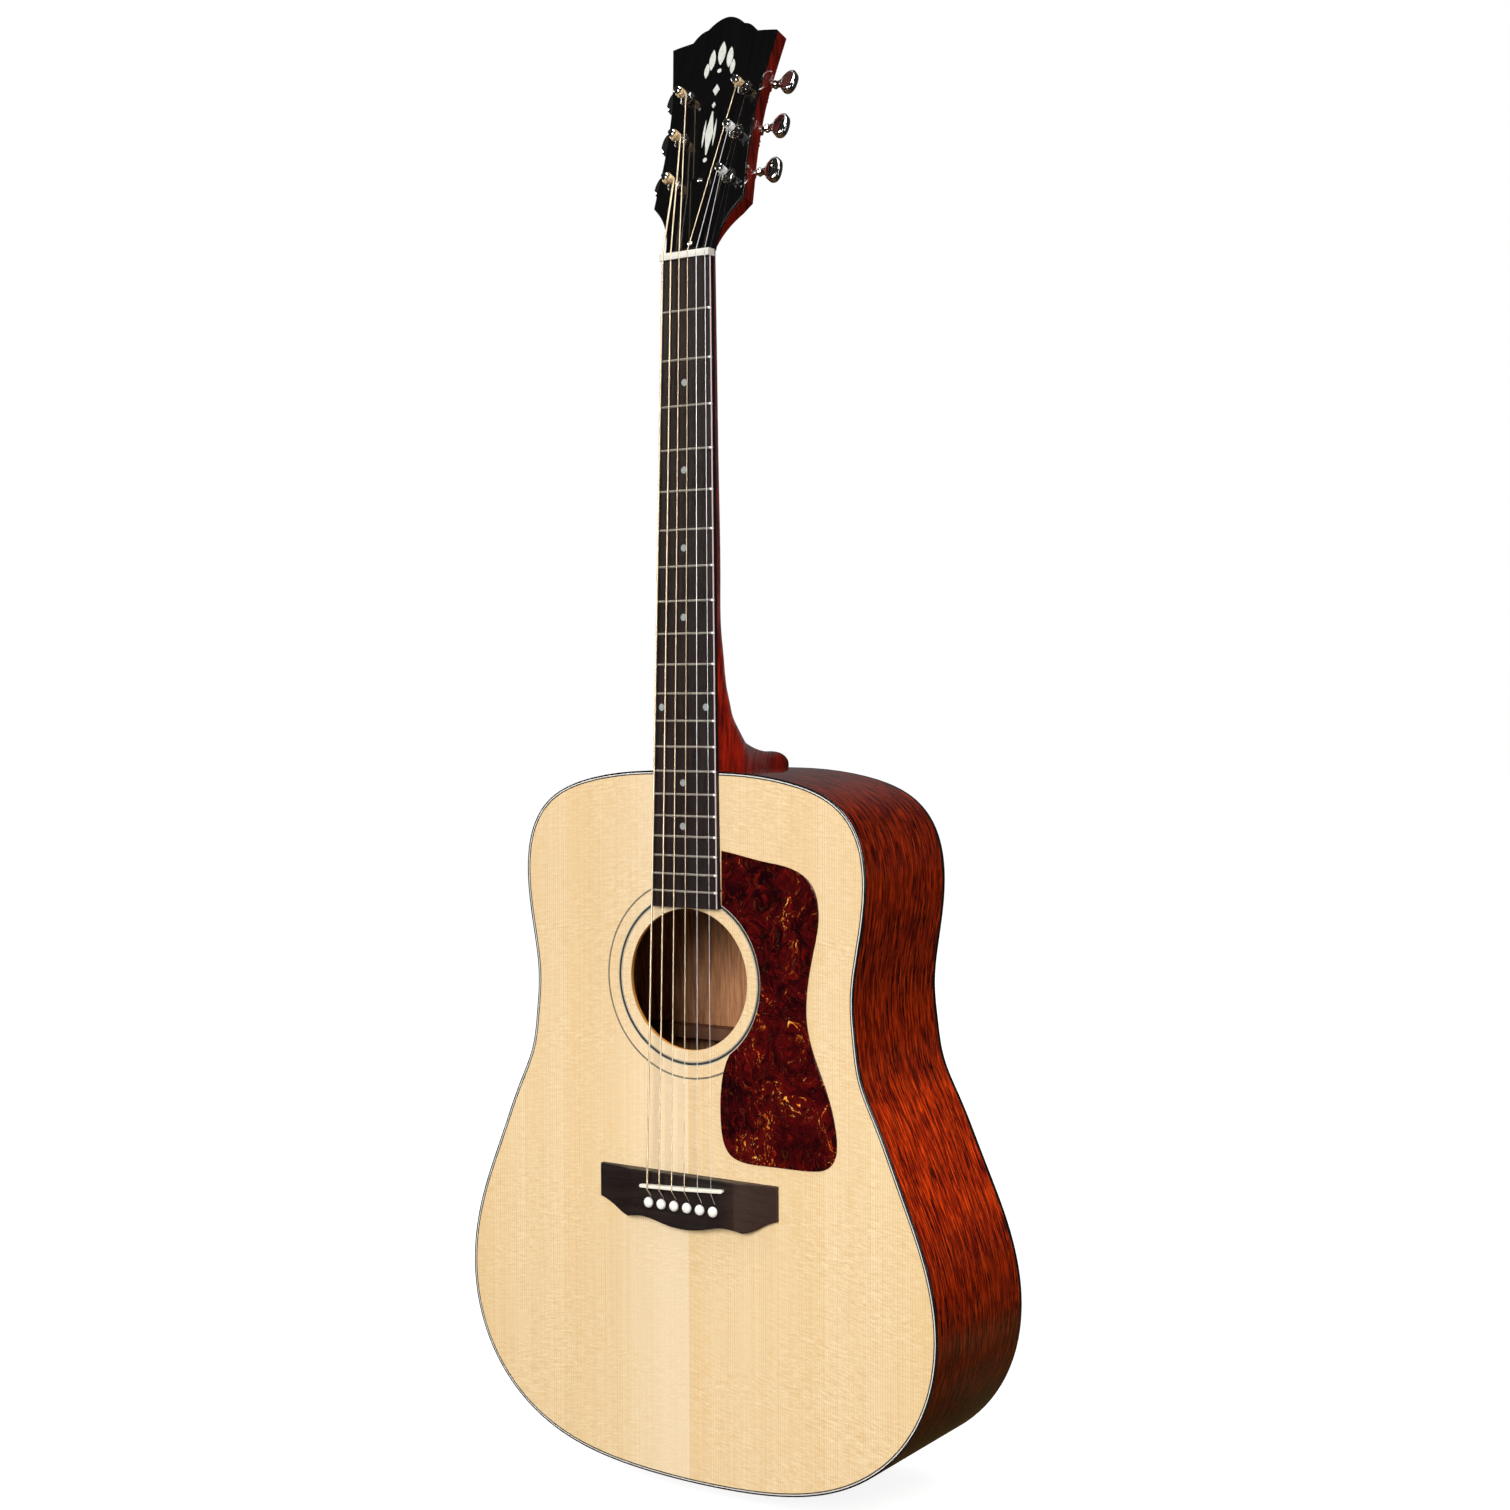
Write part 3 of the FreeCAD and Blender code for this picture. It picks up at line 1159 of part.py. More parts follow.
def worm_wheel():
    """Worm wheel about local Z, one tooth towards +Y, teeth on a slant."""
    twist = math.degrees(TOOTH_SLANT / WHEEL_PITCH_R * WHEEL_W / 2)
    wires = []
    for end in (-1, 1):
        points = []
        for k in range(WHEEL_TEETH):
            tooth = math.radians(90.0 - 360.0 / WHEEL_TEETH * k + end * twist)
            for r, half in ((WHEEL_ROOT_R, -TOOTH_ROOT_HALF), (WHEEL_TIP_R, -TOOTH_TIP_HALF),
                            (WHEEL_TIP_R, TOOTH_TIP_HALF), (WHEEL_ROOT_R, TOOTH_ROOT_HALF)):
                a = tooth - half / r
                points.append(V(r * math.cos(a), r * math.sin(a), end * WHEEL_W / 2))
        wires.append(Part.makePolygon(points + [points[0]]))
    return outward(Part.makeLoft(wires, True, True)).cut(z_cylinder(2.5, -10, 20))


def worm_shaft():
    """Worm and shaft along local Z; local X looks at the wheel.  The thread
    gap is centred on local z = 0."""
    lead = math.pi * MODULE
    z0 = -1.5 * lead
    helix = Part.makeHelix(lead, 3 * lead, WORM_R)
    helix.translate(V(0, 0, z0))
    tip_half = THREAD_W / 2 - (WORM_TIP - WORM_R) * THREAD_FLANK
    root_half = THREAD_W / 2 + (WORM_R - THREAD_ROOT) * THREAD_FLANK
    corners = [V(THREAD_ROOT, 0, z0 - root_half), V(WORM_TIP, 0, z0 - tip_half),
               V(WORM_TIP, 0, z0 + tip_half), V(THREAD_ROOT, 0, z0 + root_half)]
    profile = Part.makePolygon(corners + [corners[0]])
    thread = Part.Wire(helix).makePipeShell([profile], True, True)
    worm = z_cylinder(WORM_ROOT, -WORM_HALF, 2 * WORM_HALF).fuse(thread)
    worm = worm.common(z_cylinder(6, -WORM_HALF, 2 * WORM_HALF))
    worm = worm.fuse(z_cylinder(SHAFT_R, -8.2, 2.6))
    worm = worm.fuse(z_cylinder(SHAFT_R, 5.6, BUTTON_OUT - 5.6))
    return worm.removeSplitter()


def worm_placement(x, s):
    """Local Z becomes +X, local X looks down the head at the wheel."""
    o = head_pt(x, s + WORM_DS, WORM_OFF)
    return FreeCAD.Placement(FreeCAD.Matrix(0, 0, 1, o.x,
                                            -HEAD_ALONG.y, -HEAD_NORMAL.y, 0, o.y,
                                            -HEAD_ALONG.z, -HEAD_NORMAL.z, 0, o.z,
                                            0, 0, 0, 1))


def button_solid(turn):
    """Rounded kidney button on the end of the worm shaft, local Z outwards."""
    out, across, through = BUTTON
    half = [(a * across, BUTTON_OUT + b * out) for a, b in BUTTON_HALF]
    points = [V(x, 0, z) for x, z in half] + [V(-x, 0, z) for x, z in reversed(half[1:-1])]
    curve = Part.BSplineCurve()
    curve.interpolate(Points=points, PeriodicFlag=True)
    face = Part.Face(Part.Wire([curve.toShape()]))
    face.translate(V(0, -through, 0))
    button = face.extrude(V(0, 2 * through, 0))
    button = fillet_some(button, 0.66 * through, lambda e: e.BoundBox.YLength < 0.01)
    base = BUTTON_OUT - out
    collar = revolve_z([(0, 12.2), (3.1, 12.2), (3.3, 12.8), (3.0, 13.6), (2.5, 14.6),
                        (2.5, base - 2.4), (2.8, base - 0.8), (3.4, base + 0.6),
                        (3.4, base + 1.8), (0, base + 1.8)])
    button = button.fuse(collar).removeSplitter()
    button = button.cut(z_cylinder(SHAFT_R, 0, BUTTON_OUT + 0.01))
    button.rotate(V(0, 0, 0), V(0, 0, 1), turn)
    return button


def tuner_button(x, s, turn):
    shaft, button = WORM_SHAFT.copy(), button_solid(turn)
    shaft.Placement = worm_placement(x, s)
    button.Placement = worm_placement(x, s).multiply(button.Placement)
    return solid_group([shaft, button])


def tuner_post(x, s):
    """Post with its string hole, worm wheel and the slotted screw behind it."""
    post = outward(revolve_z(POST_PROFILE))
    post = post.cut(Part.makeCylinder(0.8, 12, V(0, -6, POST_HOLE), V(0, 1, 0)))
    screw = outward(revolve_z(GEAR_SCREW_PROFILE))
    screw = screw.cut(Part.makeBox(8, 0.6, 0.8, V(-4, -0.3, -22.2)))
    return solid_group([in_head(post, x, s, 0), in_head(WORM_WHEEL, x, s, WORM_OFF),
                        in_head(screw, x, s, 0)])


WORM_WHEEL = worm_wheel()
WORM_SHAFT = worm_shaft()
for n in STRINGS:
    x, s = post_site(n)
    button = tuner_button(abs(x), s, BUTTON_TURN[n - 1])
    post = tuner_post(abs(x), s)
    if x < 0:
        button, post = mirror_x(button), mirror_x(post)
    save("tuner_button_%d" % n, button)
    save("tuner_post_%d" % n, post)

# ------------------------------------------------------------ strap button
# radius, z: tapered plug, flange, waist and knob
STRAP_BUTTON = [(0, 25.5), (4.6, 25.5), (5.2, -0.4), (5.2, 0.0), (7.2, 0.0), (7.2, -1.6),
                (6.2, -2.4), (4.4, -3.4), (4.1, -5.2), (4.3, -7.0), (5.6, -8.2),
                (6.8, -9.0), (7.1, -10.0), (6.8, -11.2), (5.6, -12.3), (3.6, -12.9),
                (0, -13.1)]
save("strap_button", outward(revolve_z(STRAP_BUTTON, y=DEPTH_TAIL / 2)))
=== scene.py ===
# A steel-string acoustic guitar, upright on a studio floor.
# +Z runs from the tail of the body up to the head, -Y is the front (the soundboard's side),
# +X is the treble side and x = 0 is the centre line.  Metres, unless a name or comment says mm.
import math

import bpy
import bmesh
import numpy as np
from mathutils import Matrix, Vector


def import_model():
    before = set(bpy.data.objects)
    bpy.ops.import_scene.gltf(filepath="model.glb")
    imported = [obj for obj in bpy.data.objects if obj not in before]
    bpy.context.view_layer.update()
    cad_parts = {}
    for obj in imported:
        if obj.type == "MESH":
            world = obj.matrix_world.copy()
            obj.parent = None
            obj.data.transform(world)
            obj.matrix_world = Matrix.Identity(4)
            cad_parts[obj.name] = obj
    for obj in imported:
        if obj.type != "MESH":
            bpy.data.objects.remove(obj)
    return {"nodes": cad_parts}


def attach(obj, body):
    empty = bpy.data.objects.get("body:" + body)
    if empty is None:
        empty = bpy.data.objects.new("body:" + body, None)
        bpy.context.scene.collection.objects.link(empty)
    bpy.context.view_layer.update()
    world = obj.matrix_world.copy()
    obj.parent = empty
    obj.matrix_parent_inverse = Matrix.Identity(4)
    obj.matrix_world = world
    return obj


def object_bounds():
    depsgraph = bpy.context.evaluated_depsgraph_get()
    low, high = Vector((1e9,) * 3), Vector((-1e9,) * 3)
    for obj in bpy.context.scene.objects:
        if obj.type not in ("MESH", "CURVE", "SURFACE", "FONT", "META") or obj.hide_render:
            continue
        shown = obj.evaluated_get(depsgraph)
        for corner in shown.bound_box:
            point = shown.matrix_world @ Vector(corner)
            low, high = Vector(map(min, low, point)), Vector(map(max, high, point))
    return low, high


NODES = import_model()["nodes"]
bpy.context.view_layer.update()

TOP_Y = -0.06565            # plane of the soundboard
HOLE_Z = 0.360              # centre of the soundhole
NUT_Z = 0.869               # height of the nut
HALF_OUTLINE = 0.7743       # length of the outline from neck end to tail


# ============================================================ shader nodes
class Value:
    """One output of a shader node.  Its operators and methods add further nodes."""

    def __init__(self, shader, socket):
        self.shader = shader
        self.socket = socket

    def output(self, key):
        """Another output of the same node."""
        return Value(self.shader, self.socket.node.outputs[key])

    def math(self, operation, other=None):
        return self.shader.node("ShaderNodeMath", (self, other), operation=operation)

    def __add__(self, other):
        return self.math("ADD", other)

    def __sub__(self, other):
        return self.math("SUBTRACT", other)

    def __rsub__(self, number):
        return self.shader.node("ShaderNodeMath", (number, self), operation="SUBTRACT")

    def __mul__(self, other):
        return self.math("MULTIPLY", other)

    def __pow__(self, other):
        return self.math("POWER", other)

    def __gt__(self, other):
        return self.math("GREATER_THAN", other)

    def __lt__(self, other):
        return self.math("LESS_THAN", other)

    def __abs__(self):
        return self.math("ABSOLUTE")

    def fade(self, low, high, start=0.0, end=1.0, smooth=False):
        """Goes from start to end as this value goes from low to high, and stays there."""
        properties = {"interpolation_type": "SMOOTHSTEP"} if smooth else {}
        return self.shader.node("ShaderNodeMapRange", (self, low, high, start, end), **properties)

    def axes(self):
        split = self.shader.node("ShaderNodeSeparateXYZ", (self,))
        return [split.output(i) for i in range(3)]

    def stretch(self, *factors):
        """The vector times one factor, or one for each axis."""
        if len(factors) == 1:
            factors *= 3
        return self.shader.node("ShaderNodeVectorMath", (self, factors), operation="MULTIPLY")

    def shift(self, other):
        return self.shader.node("ShaderNodeVectorMath", (self, other), operation="ADD")

    def noise(self, scale=1.0, detail=3.0, rough=0.6, distortion=0.0, output="Fac"):
        inputs = {"Vector": self, "Scale": scale, "Detail": detail, "Roughness": rough,
                  "Distortion": distortion}
        return self.shader.node("ShaderNodeTexNoise", inputs, output)

    def ramp(self, stops, interpolation="LINEAR"):
        """A colour ramp; stops are (position, grey or colour)."""
        result = self.shader.node("ShaderNodeValToRGB", (self,), "Color")
        color_ramp = result.socket.node.color_ramp
        color_ramp.interpolation = interpolation
        elements = color_ramp.elements
        while len(elements) > 1:
            elements.remove(elements[0])
        for k, (position, color) in enumerate(stops):
            element = elements[0] if k == 0 else elements.new(position)
            element.position = position
            if not isinstance(color, tuple):
                color = (color,) * 3
            element.color = (*color, 1.0)
        return result

    def mix(self, under, over):
        """Blends two colours, with this value as the share of the second."""
        return self.shader.node("ShaderNodeMix", {0: self, 6: under, 7: over}, 2,
                                data_type="RGBA", blend_type="MIX")

    def times(self, color):
        """This colour multiplied by another."""
        return self.shader.node("ShaderNodeMix", {0: 1.0, 6: self, 7: color}, 2,
                                data_type="RGBA", blend_type="MULTIPLY")

    def tint(self, under, factors):
        """Multiplies a colour by factors, with this value as the strength."""
        return self.mix(under, under.times(factors))

    def bump(self, strength, distance):
        inputs = {"Strength": strength, "Distance": distance, "Height": self}
        return self.shader.node("ShaderNodeBump", inputs, "Normal")


class Shader:
    """A node tree, with short ways to add to it."""

    def __init__(self, tree):
        self.tree = tree

    def put(self, socket, value):
        """Links or sets an input; None leaves it alone."""
        if value is None:
            return
        if isinstance(value, Value):
            self.tree.links.new(value.socket, socket)
        elif isinstance(value, tuple) and socket.type == "RGBA":
            socket.default_value = (*value, 1.0)
        else:
            socket.default_value = value

    def node(self, kind, inputs=(), output=0, **properties):
        """Adds a node; inputs are in order, or a dictionary by index or name."""
        node = self.tree.nodes.new(kind)
        for key, value in properties.items():
            setattr(node, key, value)
        if not isinstance(inputs, dict):
            inputs = dict(enumerate(inputs))
        for key, value in inputs.items():
            self.put(node.inputs[key], value)
        return Value(self, node.outputs[output])

    def place(self):
        return self.node("ShaderNodeTexCoord", output="Object")

    def attribute(self, name):
        return self.node("ShaderNodeAttribute", output="Fac", attribute_name=name)

    def streaks(self, x, y, z, detail, rough, distortion=0.0):
        """Noise over three coordinates that are already scaled."""
        vector = self.node("ShaderNodeCombineXYZ", (x, y, z))
        return vector.noise(detail=detail, rough=rough, distortion=distortion)


class Material(Shader):
    def __init__(self, name):
        self.material = bpy.data.materials.new(name)
        self.material.use_nodes = True
        super().__init__(self.material.node_tree)
        self.tree.nodes.clear()
        self.surface = self.tree.nodes.new("ShaderNodeOutputMaterial").inputs[0]

    def finish(self, shader_value):
        self.put(self.surface, shader_value)
        return self.material

    def principled(self, color, rough, metal=0.0, normal=None, coat=0.0, coat_rough=0.05,
                   coat_normal=None, specular=0.5, subsurface=0.0):
        inputs = {
            "Base Color": color, "Roughness": rough, "Metallic": metal, "Normal": normal,
            "Coat Weight": coat, "Coat Roughness": coat_rough, "Coat Normal": coat_normal,
            "Specular IOR Level": specular, "IOR": 1.45,
        }
        if subsurface:
            inputs["Subsurface Weight"] = subsurface
            inputs["Subsurface Radius"] = (0.002, 0.001, 0.0006)
            inputs["Subsurface Scale"] = 1.0
        return self.finish(self.node("ShaderNodeBsdfPrincipled", inputs))


def rgb(red, green, blue):
    """A display colour, 0 to 255, as the shader's linear one."""
    return tuple(v / 12.92 if v <= 0.04045 else ((v + 0.055) / 1.055) ** 2.4
                 for v in (red / 255, green / 255, blue / 255))


def darker(color, factor):
    """A plain colour times one factor."""
    return tuple(v * factor for v in color)


def distance(a, b):
    return (a * a + b * b).math("SQRT")


def lacquer_normal(place, amount):
    """The slow ripple of a sprayed gloss finish."""
    slow = place.noise(scale=55.0, detail=3.0, rough=0.5)
    quick = place.noise(scale=420.0, detail=2.0, rough=0.5)
    return (slow + quick * 0.25).bump(amount, distance=0.0012)


# ============================================================ woods
def spruce_material():
    """The soundboard: both halves mirror one figure about the centre seam."""
    m = Material("spruce_top")
    place = m.place()
    x, y, z = place.axes()
    across = abs(x)
    treble = x > 0.0

    # the year rings, tight at the centre seam and wider towards the rim
    wobble = m.streaks(across * 6.0, 0.0, z * 1.6, detail=3.0, rough=0.5)
    pitch = (across + (wobble - 0.5) * 0.004 + 0.002) ** 0.86
    rings = m.streaks(pitch * 640.0, 0.3, z * 2.2, detail=2.5, rough=0.62)
    line = (pitch * 2950.0 + rings * 7.0).math("SINE")
    line = line.fade(-0.2, 1.0) ** 2.0
    broad = m.streaks(across * 75.0, 0.0, z * 0.9, detail=3.0, rough=0.55)
    broadest = m.streaks(across * 17.0, 4.0, z * 0.5, detail=2.0, rough=0.5)
    base = broad.fade(0.32, 0.68).mix(rgb(238, 211, 167), rgb(245, 221, 181))
    base = broadest.fade(0.35, 0.68, end=0.55).mix(base, rgb(234, 201, 148))
    line_share = line * broad.fade(0.3, 0.7, start=0.34, end=0.68)
    color = line_share.mix(base, rgb(216, 178, 120))

    # medullary silk: wavy streaks across the grain, in patches
    slant = z + across * 0.13
    bend = m.streaks(across * 22.0, 5.0, z * 26.0, detail=3.0, rough=0.55)
    slant = slant + bend * 0.007
    silk = m.streaks(across * 95.0, 2.0, slant * 620.0, detail=4.0, rough=0.62, distortion=0.3)
    fine = m.streaks(across * 300.0, 9.0, slant * 1150.0, detail=3.0, rough=0.6)
    patch = m.streaks(across * 11.0, 7.0, z * 17.0, detail=3.0, rough=0.6)
    patch = patch.fade(0.34, 0.64, start=0.22) * treble.fade(0.0, 1.0, start=0.85)
    sheen = silk * 0.60 + fine * 0.40
    pale_silk = sheen.fade(0.50, 0.62, end=0.70) * patch
    dark_silk = sheen.fade(0.50, 0.38, end=0.68) * patch
    color = pale_silk.mix(color, rgb(252, 233, 196))
    color = dark_silk.mix(color, rgb(222, 184, 128))

    # each half takes the light a little differently near the seam
    near = across.fade(0.0, 0.075, start=1.0, end=0.0, smooth=True)
    warm = near * treble
    pale = near * (1.0 - treble)
    color = (warm * 0.42).tint(color, (0.965, 0.930, 0.865))
    color = (pale * 0.36).mix(color, rgb(251, 236, 212))
    # duller towards the rim and up the shoulders
    color = across.fade(0.09, 0.20, end=0.5, smooth=True).tint(color, (0.955, 0.915, 0.82))
    color = z.fade(0.22, 0.46, smooth=True).tint(color, (0.925, 0.915, 0.915))
    fleck = m.streaks(across * 1300.0, 1.0, slant * 700.0, detail=2.0, rough=0.6)
    color = fleck.fade(0.50, 0.66, end=0.22).mix(color, rgb(214, 176, 118))
    seam = across.fade(0.0, 0.00022, start=0.30, end=0.0)
    color = seam.mix(color, rgb(170, 130, 80))

    # the unfinished underside and the sawn wall of the soundhole
    inner = y > TOP_Y + 0.0003
    color = inner.mix(color, rgb(214, 170, 112))
    wall = distance(x, z - HOLE_Z).fade(0.0505, 0.0508, start=1.0, end=0.0)
    wall = wall * y.fade(TOP_Y + 0.0001, TOP_Y + 0.0004)
    color = wall.mix(color, rgb(236, 158, 66))
    return m.principled(
        color, rough=inner.fade(0.0, 1.0, start=0.36, end=0.75),
        normal=(line + silk * 0.5).bump(0.08, distance=0.0002),
        coat=inner.fade(0.0, 1.0, start=0.7, end=0.0), coat_rough=0.08, specular=0.35,
        coat_normal=lacquer_normal(place, 0.03))


def mahogany(name, part):
    """Filled and stained red-brown wood under gloss lacquer.  The grain of the
    'side' follows its bend; on the 'back' and the 'neck' it runs up the guitar."""
    m = Material(name)
    place = m.place()
    x, y, z = place.axes()
    is_neck, is_side, is_back = part == "neck", part == "side", part == "back"
    inner = None
    depth = 0.0
    if is_side:
        along, across = m.attribute("arc"), y
        inner = m.attribute("inner")
    elif is_back:
        along, across = z, abs(x)
        # the outer face leans; what lies more than 2.2 mm inside it is left raw
        inner = y + z * 0.0437 < -TOP_Y - 0.0022
    else:
        along, across = z, x + y * 0.55
        depth = y * 3.0
    drift = m.streaks(along * 4.0, across * 7.0, 0.0, detail=2.0, rough=0.5)
    wavy = across + (drift - 0.5) * 0.007

    def figure(along_scale, across_scale, offset, detail, rough):
        return m.streaks(along * along_scale, wavy * across_scale, offset, detail, rough)

    # scale along and across the grain, offset, detail, roughness
    ribbon = figure(6.5, 110.0, depth, 3.0, 0.55)
    streak = figure(34.0, 400.0, depth, 4.0, 0.62)
    fleck = figure(44.0, 600.0, depth, 3.0, 0.62)
    spark = figure(48.0, 480.0, 9.0, 3.0, 0.62)
    fleck_patch = figure(24.0, 130.0, 3.0, 2.0, 0.5)
    cross = m.streaks(along * 46.0, across * 20.0, 5.0, detail=3.0, rough=0.55)

    # the two ground tones, then the bright, dark and cross-grain streaks
    if is_neck:
        ground, ribbon_tone, bright = rgb(84, 8, 4), rgb(112, 14, 5), rgb(140, 24, 7)
        dark, cross_tone = rgb(46, 3, 3), rgb(144, 30, 9)
    else:
        ground, ribbon_tone, bright = rgb(124, 17, 2), rgb(172, 36, 4), rgb(246, 76, 8)
        dark, cross_tone = rgb(60, 5, 1), rgb(222, 72, 9)
    color = ribbon.fade(0.34, 0.66).mix(ground, ribbon_tone)
    color = streak.fade(0.46, 0.66, end=0.95).mix(color, bright)
    color = streak.fade(0.48, 0.34, end=0.45 if is_back else 0.85).mix(color, dark)
    color = cross.fade(0.50, 0.70, end=0.35).mix(color, cross_tone)
    pore = fleck.fade(0.515, 0.57) * fleck_patch.fade(0.34, 0.60, start=0.40)
    color = spark.fade(0.54, 0.62, end=0.75 if is_side else 0.25).mix(color, bright)
    color = (pore * (0.94 if is_side else 0.50)).mix(color, rgb(30, 3, 2))

    if not is_neck:
        hair = figure(70.0, 820.0, 2.0, 4.0, 0.7)
        dark_hair = hair.fade(0.51, 0.38, end=0.95 if is_side else 0.6)
        lit_hair = hair.fade(0.51, 0.62, end=0.90 if is_side else 0.4)
        color = dark_hair.tint(color, (0.42, 0.26, 0.30))
        color = lit_hair.tint(color, (1.55, 1.75, 1.30))
    if is_back:
        color = color.times((0.66, 0.52, 0.60))
    if is_side:
        # painted light and shade along the bend, from the neck end to the tail: brightest a
        # little past the middle, on the lower bout, and darker at the shoulders and near the tail
        bend = (along * (1.0 / HALF_OUTLINE)).math("FRACT")
        color = color.times(bend.ramp([
            (0.00, 0.42), (0.19, 0.45), (0.26, 0.60), (0.33, 0.60), (0.40, 0.72), (0.46, 1.10),
            (0.52, 1.18), (0.60, 0.74), (0.68, 0.38), (0.76, 0.20), (1.0, 0.26)], "EASE"))
    if is_neck:
        # painted light: the heel is brighter than the shaft, most near the fingerboard and fading
        # towards the back; the head a little less red
        heel = z.fade(0.66, 0.56, smooth=True) * y.fade(-0.005, -0.045, smooth=True)
        color = heel.tint(color, (2.3, 2.6, 1.8))
        color = z.fade(0.86, 0.90).tint(color, (0.78, 0.95, 1.0))

    rough, coat = 0.32, 1.0
    if inner is not None:
        raw = streak.fade(0.35, 0.65).mix(rgb(156, 106, 74), rgb(198, 144, 104))
        raw = (pore * 0.30).mix(raw, rgb(110, 66, 42))
        color = inner.mix(color, raw)
        rough = inner.fade(0.0, 1.0, start=0.32, end=0.80)
        coat = inner.fade(0.0, 1.0, start=1.0, end=0.0)
    return m.principled(
        color, rough, normal=pore.bump(-0.12, distance=0.00015), coat=coat, coat_rough=0.035,
        specular=0.05, coat_normal=lacquer_normal(place, 0.035))


def rosewood(name, grain_axis):
    """Oiled dark rosewood; the grain runs in z on the fingerboard, in x on the bridge."""
    m = Material(name)
    place = m.place()
    x, y, z = place.axes()
    is_board = grain_axis == "z"
    along, across = (z, x) if is_board else (x, z)
    across = across + y * 0.6
    drift = m.streaks(along * 9.0, across * 25.0, 0.0, detail=3.0, rough=0.5)
    wavy = across + (drift - 0.5) * 0.010
    band = m.streaks(along * 7.0, wavy * 240.0, 1.0, detail=4.0, rough=0.6)
    fine = m.streaks(along * 26.0, wavy * 1300.0, 1.0, detail=4.0, rough=0.65)
    pore = m.streaks(along * 120.0, wavy * 2600.0, 6.0, detail=2.0, rough=0.5)
    color = band.fade(0.34, 0.66).mix(rgb(17, 10, 9), rgb(36, 26, 24))
    color = fine.fade(0.46, 0.70, end=0.50).mix(color, rgb(54, 40, 36))
    pore = pore.fade(0.60, 0.70)
    color = (pore * 0.8).mix(color, (0.008, 0.004, 0.003))
    handling = place.noise(scale=38.0, detail=3.0, rough=0.6)
    rough = handling.fade(0.3, 0.7, start=0.34, end=0.50) + pore * 0.2
    normal = (pore * -1.0 + fine * 0.35).bump(0.35, distance=0.00025)
    if is_board:
        # painted highlight: the rounded long edges, found by their slanting normal, are painted
        # pale; painted shade: the flanks are painted nearly black
        facing = m.node("ShaderNodeNewGeometry", output="True Normal").axes()
        sideways, frontal = abs(facing[0]), abs(facing[1])
        edge_highlight = (sideways * frontal).fade(0.25, 0.40)
        flank_shade = sideways.fade(0.90, 0.97)
        color = (flank_shade * 0.75).mix(color, rgb(14, 9, 9))
        color = (edge_highlight * 0.9).mix(color, rgb(200, 180, 184))
    else:
        # the treble end of the bridge is browner
        end = (x + drift * 0.02).fade(0.040, 0.058, end=0.40, smooth=True)
        color = end.mix(color, rgb(72, 45, 35))
    return m.principled(color, rough, normal=normal, specular=0.20 if is_board else 0.30)


def raw_wood(name, dark, light):
    m = Material(name)
    place = m.place()
    grain = place.stretch(380.0, 380.0, 16.0).noise(detail=4.0, rough=0.6)
    cloud = place.noise(scale=24.0, detail=3.0, rough=0.5)
    color = grain.fade(0.35, 0.68).mix(dark, light)
    color = cloud.fade(0.4, 0.7, end=0.3).mix(color, darker(dark, 0.7))
    return m.principled(color, rough=0.75, normal=grain.bump(0.25, distance=0.0002))


# ============================================================ plastics, bone and shell
def tortoise_material():
    """Celluloid: near-black red clouds, brighter red shreds and a few amber flecks."""
    m = Material("tortoise_guard")
    place = m.place().stretch(1.0, 0.2, 1.0)
    warp = place.noise(scale=17.0, detail=3.0, rough=0.6, output="Color")
    warped = place.shift(warp.stretch(0.075))

    def flow(squeeze, scale, detail, rough, distortion):
        return warped.stretch(1.0, 1.0, squeeze).noise(scale, detail, rough, distortion)

    cloud = warped.noise(scale=30.0, detail=4.0, rough=0.60, distortion=1.2)
    # factor on z, scale, detail, roughness, distortion
    swirl = flow(0.62, 74.0, 5.0, 0.66, 3.4)
    shred = flow(0.5, 150.0, 4.0, 0.66, 2.6)
    speck = flow(0.6, 250.0, 3.0, 0.7, 2.0)
    color = cloud.fade(0.38, 0.64).mix(rgb(28, 2, 5), rgb(80, 8, 9))
    color = swirl.fade(0.54, 0.68, end=0.60).mix(color, rgb(122, 16, 12))
    color = swirl.fade(0.46, 0.36, end=0.85).mix(color, rgb(16, 1, 4))
    zone = cloud.fade(0.52, 0.62, start=0.03)
    red = shred.fade(0.59, 0.635) * swirl.fade(0.44, 0.56, end=0.9)
    color = (red * zone).mix(color, rgb(190, 40, 12))
    amber = shred.fade(0.585, 0.625) * speck.fade(0.47, 0.52) * zone
    color = amber.mix(color, rgb(252, 142, 26))
    yellow = speck.fade(0.58, 0.63) * shred.fade(0.54, 0.60) * zone
    color = yellow.mix(color, rgb(255, 220, 116))
    scratch = m.place().stretch(900.0, 1.0, 90.0).noise(detail=2.0, rough=0.5)
    return m.principled(
        color, rough=scratch.fade(0.3, 0.8, start=0.12, end=0.24), coat=0.4, coat_rough=0.04,
        normal=lacquer_normal(m.place(), 0.05), specular=0.25)


def black_gloss(name, tint, rough):
    m = Material(name)
    place = m.place()
    cloud = place.noise(scale=160.0, detail=4.0, rough=0.6)
    dust = place.noise(scale=2600.0, detail=2.0, rough=0.5).fade(0.70, 0.80, end=0.35)
    color = cloud.mix(tint, darker(tint, 1.9))
    color = dust.mix(color, (0.05, 0.05, 0.05))
    wear = place.noise(scale=90.0, detail=3.0, rough=0.6)
    return m.principled(
        color, rough=wear.fade(0.3, 0.7, start=rough, end=rough + 0.10), coat=0.8,
        coat_rough=0.03, normal=lacquer_normal(place, 0.05))


